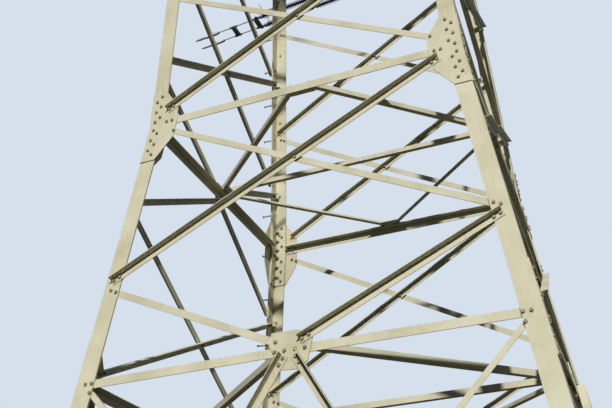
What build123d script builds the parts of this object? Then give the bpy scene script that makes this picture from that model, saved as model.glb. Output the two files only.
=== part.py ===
from build123d import *
import math
import os

# Lattice transmission pylon: a square steel tower with two levels of crossarms.
# Millimetres. +Z is up, the origin is the middle of the base at foot-plate level.
# The front is -Y; the crossarms reach out along -Y and +Y, the line runs along X.

# Levels of the body
kink_level = 8315.0            # where the legs change slope, at the big bent gussets
strut_drop = 3200.0            # lower belt of struts, below the kink
front_node_drop = 2153.0       # front and back leg nodes between belt and kink
side_node_drop = 1065.0        # left and right leg nodes just below the kink
front_panels = (2100.0, 2200.0, 1690.0, 1680.0, 1680.0)   # kink to lower crossarm
side_node_rise = 1050.0        # first left and right leg node above the kink
side_panels = (2145.0, 1868.0, 1715.0, 1714.0)            # further side nodes
lower_arm_depth = 1500.0       # bottom chord to top chord at the body
middle_panels = (1867.0, 1867.0, 1866.0)                  # lower crossarm to upper
upper_arm_depth = 1900.0
peak_panels = (2200.0, 1900.0, 1700.0, 1435.0)            # upper crossarm to tip

# Plan half widths and slopes of the four faces
kink_half = 1900.0
lower_slope = 0.121            # inward lean of a face below the kink
upper_slope = 0.035            # from the kink to the lower crossarm
top_slope = 0.075              # between the crossarms
peak_slope = 0.106             # earth-wire peak

# Equal angles, as (flange width, thickness)
leg_lower = (185.0, 18.0)
leg_upper = (185.0, 16.0)
leg_top = (140.0, 12.0)
leg_peak = (90.0, 8.0)
body_brace = (75.0, 8.0)       # diagonals of the body, up to the lower crossarm
foot_brace = (80.0, 8.0)       # long diagonals from the belt to the feet
top_brace = (60.0, 6.0)        # diagonals between the crossarms
peak_brace = (50.0, 5.0)
short_brace = (55.0, 5.0)      # redundant members beside the feet
kink_strut = (100.0, 10.0)
belt_strut = (90.0, 9.0)
top_strut = (70.0, 7.0)
kink_plan_brace = (60.0, 6.0)
belt_plan_brace = (70.0, 7.0)
lower_chord = (110.0, 10.0)
upper_chord = (90.0, 8.0)
arm_brace = (50.0, 5.0)

# Gussets
gusset_thick = 12.0
kink_gusset_up = 490.0         # height above the kink
kink_gusset_down = 515.0
kink_gusset_reach = 360.0      # width from the heel of the leg
kink_gusset_shoulder = 225.0   # half height of its straight inner edge
belt_gusset_half = 470.0       # half height of the side gussets on the belt
splice_length = 500.0          # inner splice angle, each way from the kink
splice_thick = 14.0
belt_gusset_corners = ((-190, 160), (70, 155), (230, 100), (180, -170), (80, -240),
                       (-80, -230), (-210, 30))   # middle of the belt, from its centre
middle_gusset_half = 150.0     # half width of the gusset in the middle of the kink strut
middle_gusset_end = 120.0      # half width of its upper and lower edges
middle_gusset_up = 225.0
middle_gusset_down = 130.0
arm_gusset_half = 215.0        # half width of the gusset under the lower crossarm
arm_gusset_end = 130.0
arm_gusset_drop = 150.0        # its centre, below the crossarm
arm_gusset_up = 110.0
arm_gusset_down = 220.0
plan_plate_long = 300.0
plan_plate_deep = 170.0
plan_plate_thick = 10.0
plan_plate_inset = 30.0        # outer edge of the plates, in from the legs' face
kink_plan_ends = (85.0, 83.0)  # ends of the diamond's bars, in from the legs' face and
belt_plan_ends = (130.0, 60.0)  # to each side of the strut's middle

# Seats and cut ends
seat_gap = 0.3                 # between two bolted faces
outer_inset = 40.0             # where an outside bar's line meets a leg, in from its heel
inner_inset = 62.0             # end of an inside bar, in from the leg's heel
top_inner_inset = 88.0         # the same between the crossarms
outer_cuts = (45.0, 85.0, 45.0, 85.0)   # outside bars stop short of that, by side
toe_gap = 8.0                  # between a leg's toe and a bar that stops at it
strut_clear = 5.0              # further gap at the ends of the kink strut
node_split = 55.0              # bars that meet at a leg node, up or down from it
low_node_split = 30.0          # the same below the kink
top_node_split = 110.0         # the same between the crossarms
peak_node_split = 60.0
peak_inset = 35.0
strut_gap = 3.0                # between a top strut and the level that it marks

# Strut centres, above their levels
kink_strut_rise = 32.0
belt_strut_rise = -39.0
belt_half_start = 25.0         # inner end of each half of the belt strut, from the middle

# Bar ends on the kink gussets, as (in from the leg's heel, up from the kink) and, for an
# outside bar, its length on the plate
kink_outer_low = (250.0, -98.0, 130.0)
kink_inner_low = (310.0, -123.0)
kink_outer_high = (235.0, 186.0, 180.0)
kink_inner_high = (300.0, 235.0)
first_outer_drop = 10.0        # upper end of that outside bar, below the first node
first_inner_rise = 12.0        # upper end of that inside bar, above the first node

# Bar ends on the belt's leg gussets, in from the leg's heel and up from the belt
belt_leg_outer = (190.0, 155.0, 200.0)
belt_leg_inner = (288.0, 155.0)

# Bar ends on gussets in the middle of a face: from its middle, up from the level
kink_middle_outer_low = (57.0, -35.0, 110.0)
kink_middle_inner_low = (80.0, -55.0)
kink_middle_outer_high = (10.0, 120.0, 120.0)
kink_middle_inner_high = (30.0, 168.0)
belt_outer_high = (100.0, 34.0, 170.0)
belt_inner_high = (120.0, 48.0)
belt_outer_low = (50.0, -95.0, 200.0)
arm_outer = (85.0, -200.0, 170.0)
arm_inner = (110.0, -210.0)

# Short bars beside a foot, as (share of the long bar, shift along it, in from the leg's
# heel, drop of the leg end below the belt)
foot_bars = ((0.305, -55.0, 150.0, 117.0), (0.305, 55.0, 145.0, 2600.0),
             (0.66, 0.0, 145.0, 2740.0))

# Feet
foot_side = 420.0
foot_thick = 30.0
foot_offset = 90.0             # plate centre, in from the leg's heel
foot_hole_radius = 19.5
foot_hole_spacing = 300.0
rib_height = 170.0
rib_low_height = 25.0          # height of a rib's outer end
rib_top_width = 12.0
rib_margin = 12.0              # from a rib's outer end to the edge of the plate
rib_share = 0.45               # where a rib meets a leg's flange, as a share of its width
rib_sink = 4.0                 # how far a rib runs into the leg
rib_thick = 12.0
foot_node = 250.0              # lower ends of the long foot diagonals

# Crossarms
lower_arm_reach = 6480.0       # from the tower's axis to the end plate
lower_tip_half = 650.0
upper_arm_reach = 12070.0
upper_tip_half = 440.0
tip_depth = 260.0              # between the chords at the end plate
end_plate_thick = 14.0
end_plate_margin = 30.0
end_hole_radius = 55.0
lower_end_hole_spacing = 560.0
upper_end_hole_spacing = 380.0
lower_arm_bays = 4
upper_arm_bays = 6
first_station = 330.0          # first panel point, out from the body
last_station = 260.0           # last panel point, in from the end plate
bay_split = 65.0
arm_strut_inset = 68.0         # ends of the struts under an arm, in from the chord's edge
post_low_inset = 28.0          # ends of a post, in from the chords' outer edges
post_high_inset = 22.0
diagonal_inset = 45.0          # ends of a diagonal, in from the chords' outer edges
least_rise = 0.2               # slope below which a diagonal is cut no further
post_limit = 3.0               # shortest post, in flange widths of the bottom chord

# Insulator sets
phase_inset = 260.0            # in from an end plate
string_drop = 0.095            # fall of a set for each unit outward
lug_length = 90.0
lug_depth = 115.0
lug_thick = 18.0
hanger_rise = 45.0             # hanger's axis, above the lug's lower edge
hanger_gap = 2.0
hanger_length = 380.0
string_spacing = 330.0
string_radius = 62.0
string_sides = 8
string_length = 2845.0
yoke_thick = 16.0
yoke_width = 130.0
yoke_overhang = 60.0
tie_length = 485.0
tie_width = 34.0
conductor_spacing = 320.0
clamp_length = 1000.0
clamp_width = 60.0

# Peak
cap_side = 330.0
cap_thick = 16.0
bracket_height = 150.0
bracket_width = 90.0
bracket_hole_radius = 14.0
bracket_hole_drop = 35.0       # hole's centre, below the top of the bracket

OUTSIDE = 1
INSIDE = -1
FRONT, RIGHT, BACK, LEFT = range(4)
side_names = ("front", "right", "back", "left")
leg_names = ("front_right", "back_right", "back_left", "front_left")
across = (Vector(1, 0, 0), Vector(0, 1, 0), Vector(-1, 0, 0), Vector(0, -1, 0))
outward = (Vector(0, -1, 0), Vector(1, 0, 0), Vector(0, 1, 0), Vector(-1, 0, 0))
up = Vector(0, 0, 1)

lower_arm_level = kink_level + sum(front_panels)
lower_top_level = lower_arm_level + lower_arm_depth
upper_arm_level = lower_top_level + sum(middle_panels)
upper_top_level = upper_arm_level + upper_arm_depth
peak_level = upper_top_level + sum(peak_panels)
belt_level = kink_level - strut_drop


def solid_between(ring_a, ring_b):
    """A flat-sided solid between two rings of corners that match one to one."""
    count = len(ring_a)
    faces = [Face(Wire.make_polygon(ring_a)), Face(Wire.make_polygon(ring_b))]
    for i in range(count):
        j = (i + 1) % count
        faces.append(Face(Wire.make_polygon([ring_a[i], ring_a[j], ring_b[j], ring_b[i]])))
    return Solid(Shell(faces))


def angle_section(heel, one, two, flange, thick):
    """Corners of an angle from its heel, its flanges along two unit vectors."""
    lean = one.dot(two)
    spread = math.sqrt(1 - lean * lean)
    across_one = (two - one * lean) * (1 / spread)
    across_two = (one - two * lean) * (1 / spread)
    return [heel,
            heel + one * flange,
            heel + one * flange + across_one * thick,
            heel + (one + two) * (thick / spread),
            heel + two * flange + across_two * thick,
            heel + two * flange]


class Stage:
    """One straight length of the square body, with its legs and its four faces."""

    def __init__(self, low, high, half_low, slope, leg):
        self.low, self.high = low, high
        self.half_low, self.slope = half_low, slope
        self.flange, self.thick = leg

    def half(self, z):
        return self.half_low - self.slope * (z - self.low)

    def normal(self, side):
        return (outward[side] + up * self.slope).normalized()

    def point(self, side, u, z, offset=0.0):
        """A point on a face: u along it, z up, offset outward from the legs' outer face."""
        return across[side] * u + outward[side] * (self.half(z) + offset) + up * z

    def leg(self, corner, low=None, high=None, inset=0.0, leg=None):
        """The angle at a corner: 0 front right, then counter-clockwise from above."""
        flange, thick = leg or (self.flange, self.thick)
        one, two = outward[corner], outward[(corner + 1) % 4]
        rings = []
        for z in (self.low if low is None else low, self.high if high is None else high):
            heel = self.half(z) - inset
            corners = [(heel, heel), (heel, heel - flange), (heel - thick, heel - flange),
                       (heel - thick, heel - thick), (heel - flange, heel - thick),
                       (heel - flange, heel)]
            rings.append([one * a + two * b + up * z for a, b in corners])
        return solid_between(*rings)

    def plate(self, side, outline, inner=0.0, outer=gusset_thick):
        """A plate on a face, from (u, z) corners, between two offsets from the legs."""
        return solid_between([self.point(side, u, z, inner) for u, z in outline],
                             [self.point(side, u, z, outer) for u, z in outline])


foot_half = kink_half + lower_slope * kink_level
lower_stage = Stage(0.0, kink_level, foot_half, lower_slope, leg_lower)
upper_stage = Stage(kink_level, lower_arm_level, kink_half, upper_slope, leg_upper)
top_stage = Stage(lower_arm_level, upper_top_level, upper_stage.half(lower_arm_level),
                  top_slope, leg_top)
peak_stage = Stage(upper_top_level, peak_level, top_stage.half(upper_top_level),
                   peak_slope, leg_peak)


class Bar:
    """An equal angle from start to end, its flat flange against a face.

    The flat flange lies along the face whose normal is given, and the other flange
    stands up from its upper edge: outward on an outside bar, inward on an inside one.
    surfaces are the heights of what it seats on at its two ends, and seats are how
    far from each end that contact runs. level gives the direction of a standing
    flange that is kept level, where plan bracing rests on it.
    """

    def __init__(self, start, end, normal, size, layer, surfaces=(0.0, 0.0), seats=(0.0, 0.0),
                 level=None):
        width, thick = size
        length = (end - start).length
        rise_a, rise_b = self.seat_heights(length, surfaces, seats, layer)
        self.start, self.end = start, end
        self.normal, self.rises = normal, (rise_a, rise_b)
        a, b = start + normal * rise_a, end + normal * rise_b
        axis = (b - a).normalized()
        flat = (normal - axis * normal.dot(axis)).normalized()
        edge = axis.cross(flat)
        if edge.dot(up) < 0:
            edge = edge * -1
        stand = level or flat * layer
        self.heels = (a + edge * (width / 2), b + edge * (width / 2))
        self.solid = solid_between(*[angle_section(heel, edge * -1, stand, width, thick)
                                     for heel in self.heels])

    @staticmethod
    def seat_heights(length, surfaces, seats, layer):
        """Heights of the flat flange at both ends, just clear of the two surfaces."""
        first, last = layer * surfaces[0], layer * surfaces[1]
        if first > last:
            low, high = (seats[0], first), (length, last)
        else:
            low, high = (0.0, first), (length - seats[1], last)
        slope = (high[1] - low[1]) / (high[0] - low[0])
        at_start = low[1] - slope * low[0] + seat_gap
        return layer * at_start, layer * (at_start + slope * length)

    def back_at(self, share):
        """Height of the flat flange's seat face at a share of the bar's length."""
        return self.rises[0] + (self.rises[1] - self.rises[0]) * share


def face_bar(stage, side, start, end, size, layer, surfaces=(0.0, 0.0), seats=(0.0, 0.0),
             level=None):
    """A bar on a face of the body, from and to (u, z)."""
    return Bar(stage.point(side, *start), stage.point(side, *end), stage.normal(side),
               size, layer, surfaces, seats, level)


def leg_contact(stage, start, end, width):
    """How far along itself a bar still lies on the leg's flange that it starts on."""
    sign = math.copysign(1, start[0])
    length = math.hypot(end[0] - start[0], end[1] - start[1])
    step_u = (end[0] - start[0]) / length
    step_z = (end[1] - start[1]) / length
    toe = stage.half(start[1]) - stage.flange
    reaches = []
    for edge in (-width / 2, width / 2):
        from_toe = sign * (start[0] - step_z * edge) - toe + stage.slope * step_u * edge
        reaches.append(-from_toe / (sign * step_u + stage.slope * step_z))
    return max(reaches)


def cut_short(start, end, length):
    """The start of a line in (u, z), moved along it towards its end."""
    share = length / math.hypot(end[0] - start[0], end[1] - start[1])
    return (start[0] + (end[0] - start[0]) * share, start[1] + (end[1] - start[1]) * share)


def inside_bar(stage, side, leg_end, other_end, size, other_surface=0.0):
    """A bar from behind a leg's flange to something nearer the face's outer plane."""
    contact = leg_contact(stage, leg_end, other_end, size[0])
    return face_bar(stage, side, leg_end, other_end, size, INSIDE,
                    (-stage.thick, other_surface), (contact, 0.0)).solid


def outside_bar(stage, side, plate_end, leg_end, size, seat):
    """A bar from the outside of a gusset, where it lies on it for seat, to a leg."""
    leg_end = cut_short(leg_end, plate_end, outer_cuts[side])
    return face_bar(stage, side, plate_end, leg_end, size, OUTSIDE,
                    (gusset_thick, 0.0), (seat, 0.0))


def x_panel(stage, side, low, high, size, split=node_split, inner=inner_inset, cut=0.0):
    """Two crossed diagonals between leg nodes: the one rising right is outside."""
    bars = []
    bottom, top = low + split, high - split
    for sign, layer, inset, short in ((1, OUTSIDE, outer_inset, cut), (-1, INSIDE, inner, 0.0)):
        surface = 0.0 if layer == OUTSIDE else -stage.thick
        start = (-sign * (stage.half(bottom) - inset), bottom)
        end = (sign * (stage.half(top) - inset), top)
        ends = cut_short(start, end, short), cut_short(end, start, short)
        bars.append(face_bar(stage, side, *ends, size, layer, (surface, surface)).solid)
    return bars


def strut(stage, side, z, layer, inset):
    """A level bar from leg to leg."""
    surface = 0.0 if layer == OUTSIDE else -stage.thick
    end = stage.half(z) - inset
    return face_bar(stage, side, (-end, z), (end, z), top_strut, layer,
                    (surface, surface)).solid


def kink_belt(side):
    """Heavy strut on top of the kink, its upper flange level for the plan bracing."""
    stage = upper_stage
    z = kink_level + kink_strut_rise
    end = stage.half(z) - gusset_reach(stage) - strut_clear
    return face_bar(stage, side, (-end, z), (end, z), kink_strut, INSIDE,
                    level=outward[side] * -1)


def mirrored(outline, sign):
    return [(sign * u, z) for u, z in outline]


def kink_gusset(side, sign):
    """Plate over the leg's splice, bent where the two stages of the face meet."""
    halves = []
    for stage, far in ((upper_stage, kink_gusset_up), (lower_stage, -kink_gusset_down)):
        shoulder = math.copysign(kink_gusset_shoulder, far)
        tip = kink_level + far
        middle = kink_level + shoulder
        outline = [(stage.half(kink_level), kink_level), (stage.half(tip), tip),
                   (stage.half(tip) - stage.flange, tip),
                   (stage.half(middle) - kink_gusset_reach, middle),
                   (stage.half(kink_level) - kink_gusset_reach, kink_level)]
        halves.append(stage.plate(side, mirrored(outline, sign)))
    return halves[0] + halves[1]


def kink_joint(corner):
    """The two bent gussets of a leg and the splice angle inside it."""
    splice = []
    for stage, far in ((upper_stage, splice_length), (lower_stage, -splice_length)):
        inset = lower_stage.thick + seat_gap
        size = (leg_upper[0] - lower_stage.thick, splice_thick)
        ends = sorted((kink_level, kink_level + far))
        splice.append(stage.leg(corner, ends[0], ends[1], inset, size))
    return [kink_gusset(corner, 1), kink_gusset((corner + 1) % 4, -1), splice[0] + splice[1]]


def gusset_reach(stage):
    """How far a bar that stops at the leg's toe starts from the heel."""
    return stage.flange + toe_gap


def belt_and_feet(side, stop_at_toe):
    """Belt strut in two halves, its middle gusset, and the diagonals to the feet."""
    stage = lower_stage
    outline = [(u, belt_level + z) for u, z in belt_gusset_corners]
    parts = [stage.plate(side, outline)]
    for sign in (-1, 1):
        parts.append(belt_half(side, sign, stop_at_toe).solid)
        u, rise, seat = belt_outer_low
        foot = (sign * (stage.half(foot_node) - outer_inset), foot_node)
        long_bar = outside_bar(stage, side, (sign * u, belt_level + rise), foot, foot_brace, seat)
        parts.append(long_bar.solid)
        parts += foot_redundants(side, sign, long_bar)
    return parts


def belt_half(side, sign, stop_at_toe):
    """Half of a belt strut, from the leg to the middle gusset, its upper flange level."""
    stage = lower_stage
    inset = gusset_reach(stage) if stop_at_toe else inner_inset
    surface = 0.0 if stop_at_toe else -stage.thick
    z = belt_level + belt_strut_rise
    outer = sign * (stage.half(belt_level) - inset)
    return face_bar(stage, side, (outer, z), (sign * belt_half_start, z), belt_strut, INSIDE,
                    (surface, 0.0), (stage.flange - inset, 0.0), outward[side] * -1)


def foot_redundants(side, sign, long_bar):
    """Short bars in a zigzag between a leg and the long diagonal to its foot."""
    stage = lower_stage
    span = long_bar.end - long_bar.start
    bars = []
    for share, shift, inset, drop in foot_bars:
        along = share + shift / span.length
        point = long_bar.start + span * along
        z_leg = belt_level - drop
        leg_end = (sign * (stage.half(z_leg) - inset), z_leg)
        bars.append(inside_bar(stage, side, leg_end, (point.dot(across[side]), point.Z),
                               short_brace, long_bar.back_at(along)))
    return bars


def front_lower(side):
    """Front or back face below the kink: crossed bars, then a V, then the feet."""
    stage = lower_stage
    node = kink_level - front_node_drop
    heel = stage.half(kink_level)
    above, below = node + low_node_split, node - low_node_split
    parts = belt_and_feet(side, False)
    u, rise, seat = kink_outer_low
    parts.append(outside_bar(stage, side, (heel - u, kink_level + rise),
                             (outer_inset - stage.half(above), above), body_brace, seat).solid)
    u, rise = kink_inner_low
    parts.append(inside_bar(stage, side, (stage.half(above) - inner_inset, above),
                            (u - heel, kink_level + rise), body_brace))
    u, rise = belt_inner_high
    parts.append(inside_bar(stage, side, (inner_inset - stage.half(below), below),
                            (-u, belt_level + rise), body_brace))
    u, rise, seat = belt_outer_high
    parts.append(outside_bar(stage, side, (u, belt_level + rise),
                             (stage.half(below) - outer_inset, below), body_brace, seat).solid)
    parts.append(kink_belt(side).solid)
    return parts


def belt_gusset(side, sign):
    """Plate on a leg at the belt, on the left and right faces."""
    stage = lower_stage
    low, high = belt_level - belt_gusset_half, belt_level + belt_gusset_half
    shoulder = kink_gusset_shoulder
    outline = [(stage.half(low), low), (stage.half(high), high),
               (stage.half(high) - stage.flange, high),
               (stage.half(belt_level + shoulder) - kink_gusset_reach, belt_level + shoulder),
               (stage.half(belt_level - shoulder) - kink_gusset_reach, belt_level - shoulder),
               (stage.half(low) - stage.flange, low)]
    return stage.plate(side, mirrored(outline, sign))


def kink_middle_gusset(side):
    """Bent plate in the middle of the kink strut, on the left and right faces."""
    halves = []
    half, end = middle_gusset_half, middle_gusset_end
    for stage, far in ((upper_stage, middle_gusset_up), (lower_stage, -middle_gusset_down)):
        outline = [(-half, kink_level), (-end, kink_level + far), (end, kink_level + far),
                   (half, kink_level)]
        halves.append(stage.plate(side, outline))
    return halves[0] + halves[1]


def side_lower(side):
    """Left or right face below the kink, its nodes half a panel from the front's."""
    stage = lower_stage
    node = kink_level - side_node_drop
    heel = stage.half(belt_level)
    above, below = node + low_node_split, node - low_node_split
    parts = belt_and_feet(side, True)
    parts += [belt_gusset(side, sign) for sign in (-1, 1)]
    parts.append(kink_middle_gusset(side))
    parts.append(kink_belt(side).solid)
    u, rise, seat = belt_leg_outer
    parts.append(outside_bar(stage, side, (u - heel, belt_level + rise),
                             (stage.half(below) - outer_inset, below), body_brace, seat).solid)
    u, rise = belt_leg_inner
    parts.append(inside_bar(stage, side, (inner_inset - stage.half(below), below),
                            (heel - u, belt_level + rise), body_brace))
    u, rise, seat = kink_middle_outer_low
    parts.append(outside_bar(stage, side, (-u, kink_level + rise),
                             (outer_inset - stage.half(above), above), body_brace, seat).solid)
    u, rise = kink_middle_inner_low
    parts.append(inside_bar(stage, side, (stage.half(above) - inner_inset, above),
                            (u, kink_level + rise), body_brace))
    return parts


def front_upper(side):
    """Front or back face from the kink to the lower crossarm."""
    stage = upper_stage
    heel = stage.half(kink_level)
    node = kink_level + front_panels[0]
    outer_end, inner_end = node - first_outer_drop, node + first_inner_rise
    u, rise, seat = kink_outer_high
    parts = [outside_bar(stage, side, (u - heel, kink_level + rise),
                         (stage.half(outer_end) - outer_inset, outer_end), body_brace,
                         seat).solid]
    u, rise = kink_inner_high
    parts.append(inside_bar(stage, side, (inner_inset - stage.half(inner_end), inner_end),
                            (heel - u, kink_level + rise), body_brace))
    for height in front_panels[1:]:
        parts += x_panel(stage, side, node, node + height, body_brace, cut=outer_cuts[side])
        node += height
    return parts


def side_upper(side):
    """Left or right face from the kink to the lower crossarm."""
    stage = upper_stage
    node = kink_level + side_node_rise
    below = node - node_split
    u, rise, seat = kink_middle_outer_high
    parts = [outside_bar(stage, side, (u, kink_level + rise),
                         (stage.half(below) - outer_inset, below), body_brace, seat).solid]
    u, rise = kink_middle_inner_high
    parts.append(inside_bar(stage, side, (inner_inset - stage.half(below), below),
                            (-u, kink_level + rise), body_brace))
    for height in side_panels:
        parts += x_panel(stage, side, node, node + height, body_brace, cut=outer_cuts[side])
        node += height
    above = node + node_split
    level = lower_arm_level - arm_gusset_drop
    half, end = arm_gusset_half, arm_gusset_end
    outline = [(-half, level), (-end, level + arm_gusset_up), (end, level + arm_gusset_up),
               (half, level), (end, level - arm_gusset_down), (-end, level - arm_gusset_down)]
    parts.append(stage.plate(side, outline))
    u, rise, seat = arm_outer
    parts.append(outside_bar(stage, side, (-u, lower_arm_level + rise),
                             (outer_inset - stage.half(above), above), body_brace, seat).solid)
    u, rise = arm_inner
    parts.append(inside_bar(stage, side, (stage.half(above) - inner_inset, above),
                            (u, lower_arm_level + rise), body_brace))
    return parts


def top_face(side):
    """Any face between the two crossarms."""
    stage = top_stage
    on_arms = side in (RIGHT, LEFT)
    layer = OUTSIDE if on_arms else INSIDE
    inset = outer_inset if on_arms else inner_inset
    heights = (lower_arm_depth,) + middle_panels + (upper_arm_depth,)
    strut_levels = (lower_arm_level, lower_top_level, upper_arm_level, upper_top_level)
    low = lower_arm_level
    parts = []
    for height in heights:
        parts += x_panel(stage, side, low, low + height, top_brace, top_node_split,
                         top_inner_inset)
        low += height
    for index, z in enumerate(strut_levels):
        away = top_strut[0] / 2 + strut_gap
        parts.append(strut(stage, side, z + away if index == 0 else z - away, layer, inset))
    return parts


def plan_bracing(stage, belt, size, ends):
    """Level plates in the middle of the four struts, a diamond between them, a cross bar.

    belt is one of the struts, whose level upper flanges carry the plates.
    """
    parts = []
    inset, aside = ends
    strut_top = max(heel.Z for heel in belt.heels)
    face = stage.half(strut_top)
    plate_low = strut_top + seat_gap
    for side in range(4):
        centre = outward[side] * (face - plan_plate_inset - plan_plate_deep / 2)
        along, out = across[side] * (plan_plate_long / 2), outward[side] * (plan_plate_deep / 2)
        ring = [centre - along - out, centre + along - out, centre + along + out,
                centre - along + out]
        parts.append(solid_between([p + up * plate_low for p in ring],
                                   [p + up * (plate_low + plan_plate_thick) for p in ring]))
    end = face - inset
    seat = plate_low + plan_plate_thick
    for side in range(4):
        following = (side + 1) % 4
        first = across[side] * aside + outward[side] * end + up * seat
        last = outward[following] * end - across[following] * aside + up * seat
        parts.append(level_bar(first, last, size))
    end -= toe_gap
    parts.append(level_bar(Vector(-end, 0, seat), Vector(end, 0, seat), size))
    return parts


def level_bar(start, end, size):
    """A level angle on its flat flange, the other flange up along its outer edge."""
    middle = (start + end) * 0.5
    width, thick = size
    axis = (end - start).normalized()
    edge = axis.cross(up)
    if edge.dot(Vector(middle.X, middle.Y, 0)) < 0:
        edge = edge * -1
    shift = edge * (width / 2) + up * seat_gap
    return solid_between(*[angle_section(point + shift, edge * -1, up, width, thick)
                           for point in (start, end)])


def foot(corner):
    """Base plate with its four bolt holes and the ribs beside the leg's heel."""
    one, two = outward[corner], outward[(corner + 1) % 4]
    middle = (one + two) * (foot_half - foot_offset)
    plate = Pos(middle.X, middle.Y, foot_thick / 2) * Box(foot_side, foot_side, foot_thick)
    for a in (-1, 1):
        for b in (-1, 1):
            hole = Pos(middle.X + a * foot_hole_spacing / 2, middle.Y + b * foot_hole_spacing / 2,
                       foot_thick / 2)
            plate -= hole * Cylinder(foot_hole_radius, foot_thick * 2)
    leg = lower_stage.leg(corner, low=foot_thick)
    body = plate + leg
    for out, along in ((one, two), (two, one)):
        heel = lower_stage.half(foot_thick)
        top = lower_stage.half(foot_thick + rib_height)
        edge = foot_half - foot_offset + foot_side / 2 - rib_margin
        centre = along * (foot_half - leg_lower[0] * rib_share)
        low, high = foot_thick - rib_sink, foot_thick + rib_height
        profile = [out * (heel - rib_sink) + up * low, out * edge + up * low,
                   out * edge + up * (foot_thick + rib_low_height),
                   out * (top + rib_top_width) + up * high, out * (top - rib_sink) + up * high]
        shift = along * (rib_thick / 2)
        body += solid_between([centre + p - shift for p in profile],
                              [centre + p + shift for p in profile])
    return body


class Arm:
    """A crossarm that tapers from the body to an end plate, on the front or the back."""

    def __init__(self, side, level, depth, reach, tip_half, bays, hole_spacing):
        self.side, self.level, self.depth = side, level, depth
        self.reach, self.tip_half, self.bays = reach, tip_half, bays
        self.hole_spacing = hole_spacing
        self.root = top_stage.half(level)
        self.root_top = top_stage.half(level + depth)
        taper = (self.root - tip_half) / (reach - self.root)
        below_top = self.root + taper * (self.root - self.root_top)
        self.lean = (below_top - self.root_top) / depth

    def place(self, x, y, z):
        """x along the face, y out from the tower's axis, z up."""
        return across[self.side] * x + outward[self.side] * y + up * z

    def bottom(self, sign, y, inset=0.0):
        """A point on the bottom chord's outer lower edge."""
        share = (y - self.root) / (self.reach - self.root)
        x = self.root + (self.tip_half - self.root) * share
        return self.place(sign * (x - inset), y, self.level)

    def top(self, sign, y):
        """A point on the top chord's outer upper edge."""
        share = (y - self.root_top) / (self.reach - self.root_top)
        tip = self.tip_half - self.lean * tip_depth
        x = self.root_top + (tip - self.root_top) * share
        z = self.level + self.depth + (tip_depth - self.depth) * share
        return self.place(sign * x, y, z)

    def web_normal(self, sign):
        """Outward normal of the arm's side, the plane of a bottom and a top chord."""
        along = self.bottom(sign, self.reach) - self.bottom(sign, self.root)
        rise = self.top(sign, self.root_top) - self.bottom(sign, self.root)
        normal = along.cross(rise).normalized()
        return normal if normal.dot(across[self.side]) * sign > 0 else normal * -1

    def chord(self, sign, at, z_sense, size, root_y):
        """A chord angle between the leg's face and the end plate, heel on the corner line."""
        flange, thick = size
        start, end = at(sign, root_y), at(sign, self.reach)
        axis = (end - start).normalized()
        web = self.web_normal(sign)
        level_in = across[self.side] * -sign
        level_in = (level_in - axis * level_in.dot(axis)).normalized()
        web_in = axis.cross(web)
        if web_in.dot(up) * z_sense < 0:
            web_in = web_in * -1
        section = angle_section(start, level_in, web_in, flange, thick)
        body = (top_stage.normal(self.side), top_stage.point(self.side, 0, self.level, seat_gap))
        plate_face = self.place(0, self.reach - end_plate_thick - seat_gap, 0)
        tip = (outward[self.side], plate_face)
        rings = []
        for normal, on_plane in (body, tip):
            rings.append([base + axis * ((on_plane - base).dot(normal) / axis.dot(normal))
                          for base in section])
        return solid_between(*rings)

    def end_plate(self):
        """Plate across the chord ends with two round holes."""
        width = 2 * (self.tip_half + end_plate_margin)
        height = tip_depth + 2 * end_plate_margin
        plate = Box(width, end_plate_thick, height)
        for sign in (-1, 1):
            hole = Pos(sign * self.hole_spacing / 2, 0, 0) * Rot(90, 0, 0)
            plate -= hole * Cylinder(end_hole_radius, end_plate_thick * 2)
        turn = 0 if self.side == FRONT else 180
        middle = self.place(0, self.reach - end_plate_thick / 2, self.level + tip_depth / 2)
        return Pos(middle.X, middle.Y, middle.Z) * Rot(0, 0, turn) * plate

    def stations(self):
        """Distances of the panel points from the tower's axis."""
        first, last = self.root + first_station, self.reach - last_station
        return [first + (last - first) * i / self.bays for i in range(self.bays + 1)]

    def underside(self):
        """Struts and zigzag diagonals between the bottom chords, and the end plate."""
        parts = [self.end_plate()]
        stations = self.stations()
        down = up * -1
        centre = lower_chord[0] / 2
        for y in stations:
            ends = [self.bottom(sign, y, arm_strut_inset) for sign in (-1, 1)]
            parts.append(Bar(ends[0], ends[1], down, arm_brace, INSIDE,
                             (-lower_chord[1], -lower_chord[1])).solid)
        for i in range(self.bays):
            sign = 1 if i % 2 else -1
            ends = [self.bottom(sign, stations[i] + bay_split, centre),
                    self.bottom(-sign, stations[i + 1] - bay_split, centre)]
            parts.append(Bar(ends[0], ends[1], down, arm_brace, OUTSIDE).solid)
        return parts

    def side_frame(self, sign):
        """A bottom and a top chord, posts inside them and diagonals outside."""
        normal = self.web_normal(sign)
        stations = self.stations()
        parts = [self.chord(sign, self.bottom, 1, lower_chord, self.root),
                 self.chord(sign, self.top, -1, upper_chord, self.root_top)]
        for i, y in enumerate(stations):
            low, high = self.bottom(sign, y), self.top(sign, y)
            span = high - low
            direction = span.normalized()
            if span.length > post_limit * lower_chord[0]:
                a = low + direction * post_low_inset
                b = high - direction * post_high_inset
                parts.append(Bar(a, b, normal, arm_brace, INSIDE,
                                 (-lower_chord[1], -upper_chord[1]),
                                 (lower_chord[0], upper_chord[0])).solid)
            if i + 1 < len(stations):
                far = self.top(sign, stations[i + 1] - bay_split)
                near = self.bottom(sign, y + bay_split)
                if i % 2:
                    far = self.bottom(sign, stations[i + 1] - bay_split)
                    near = self.top(sign, y + bay_split)
                step = (far - near).normalized()
                rise = abs(step.dot(up))
                trim = min(diagonal_inset / max(rise, least_rise), (far - near).length / 4)
                parts.append(Bar(near + step * trim, far - step * trim, normal, arm_brace,
                                 OUTSIDE).solid)
        return parts


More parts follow.
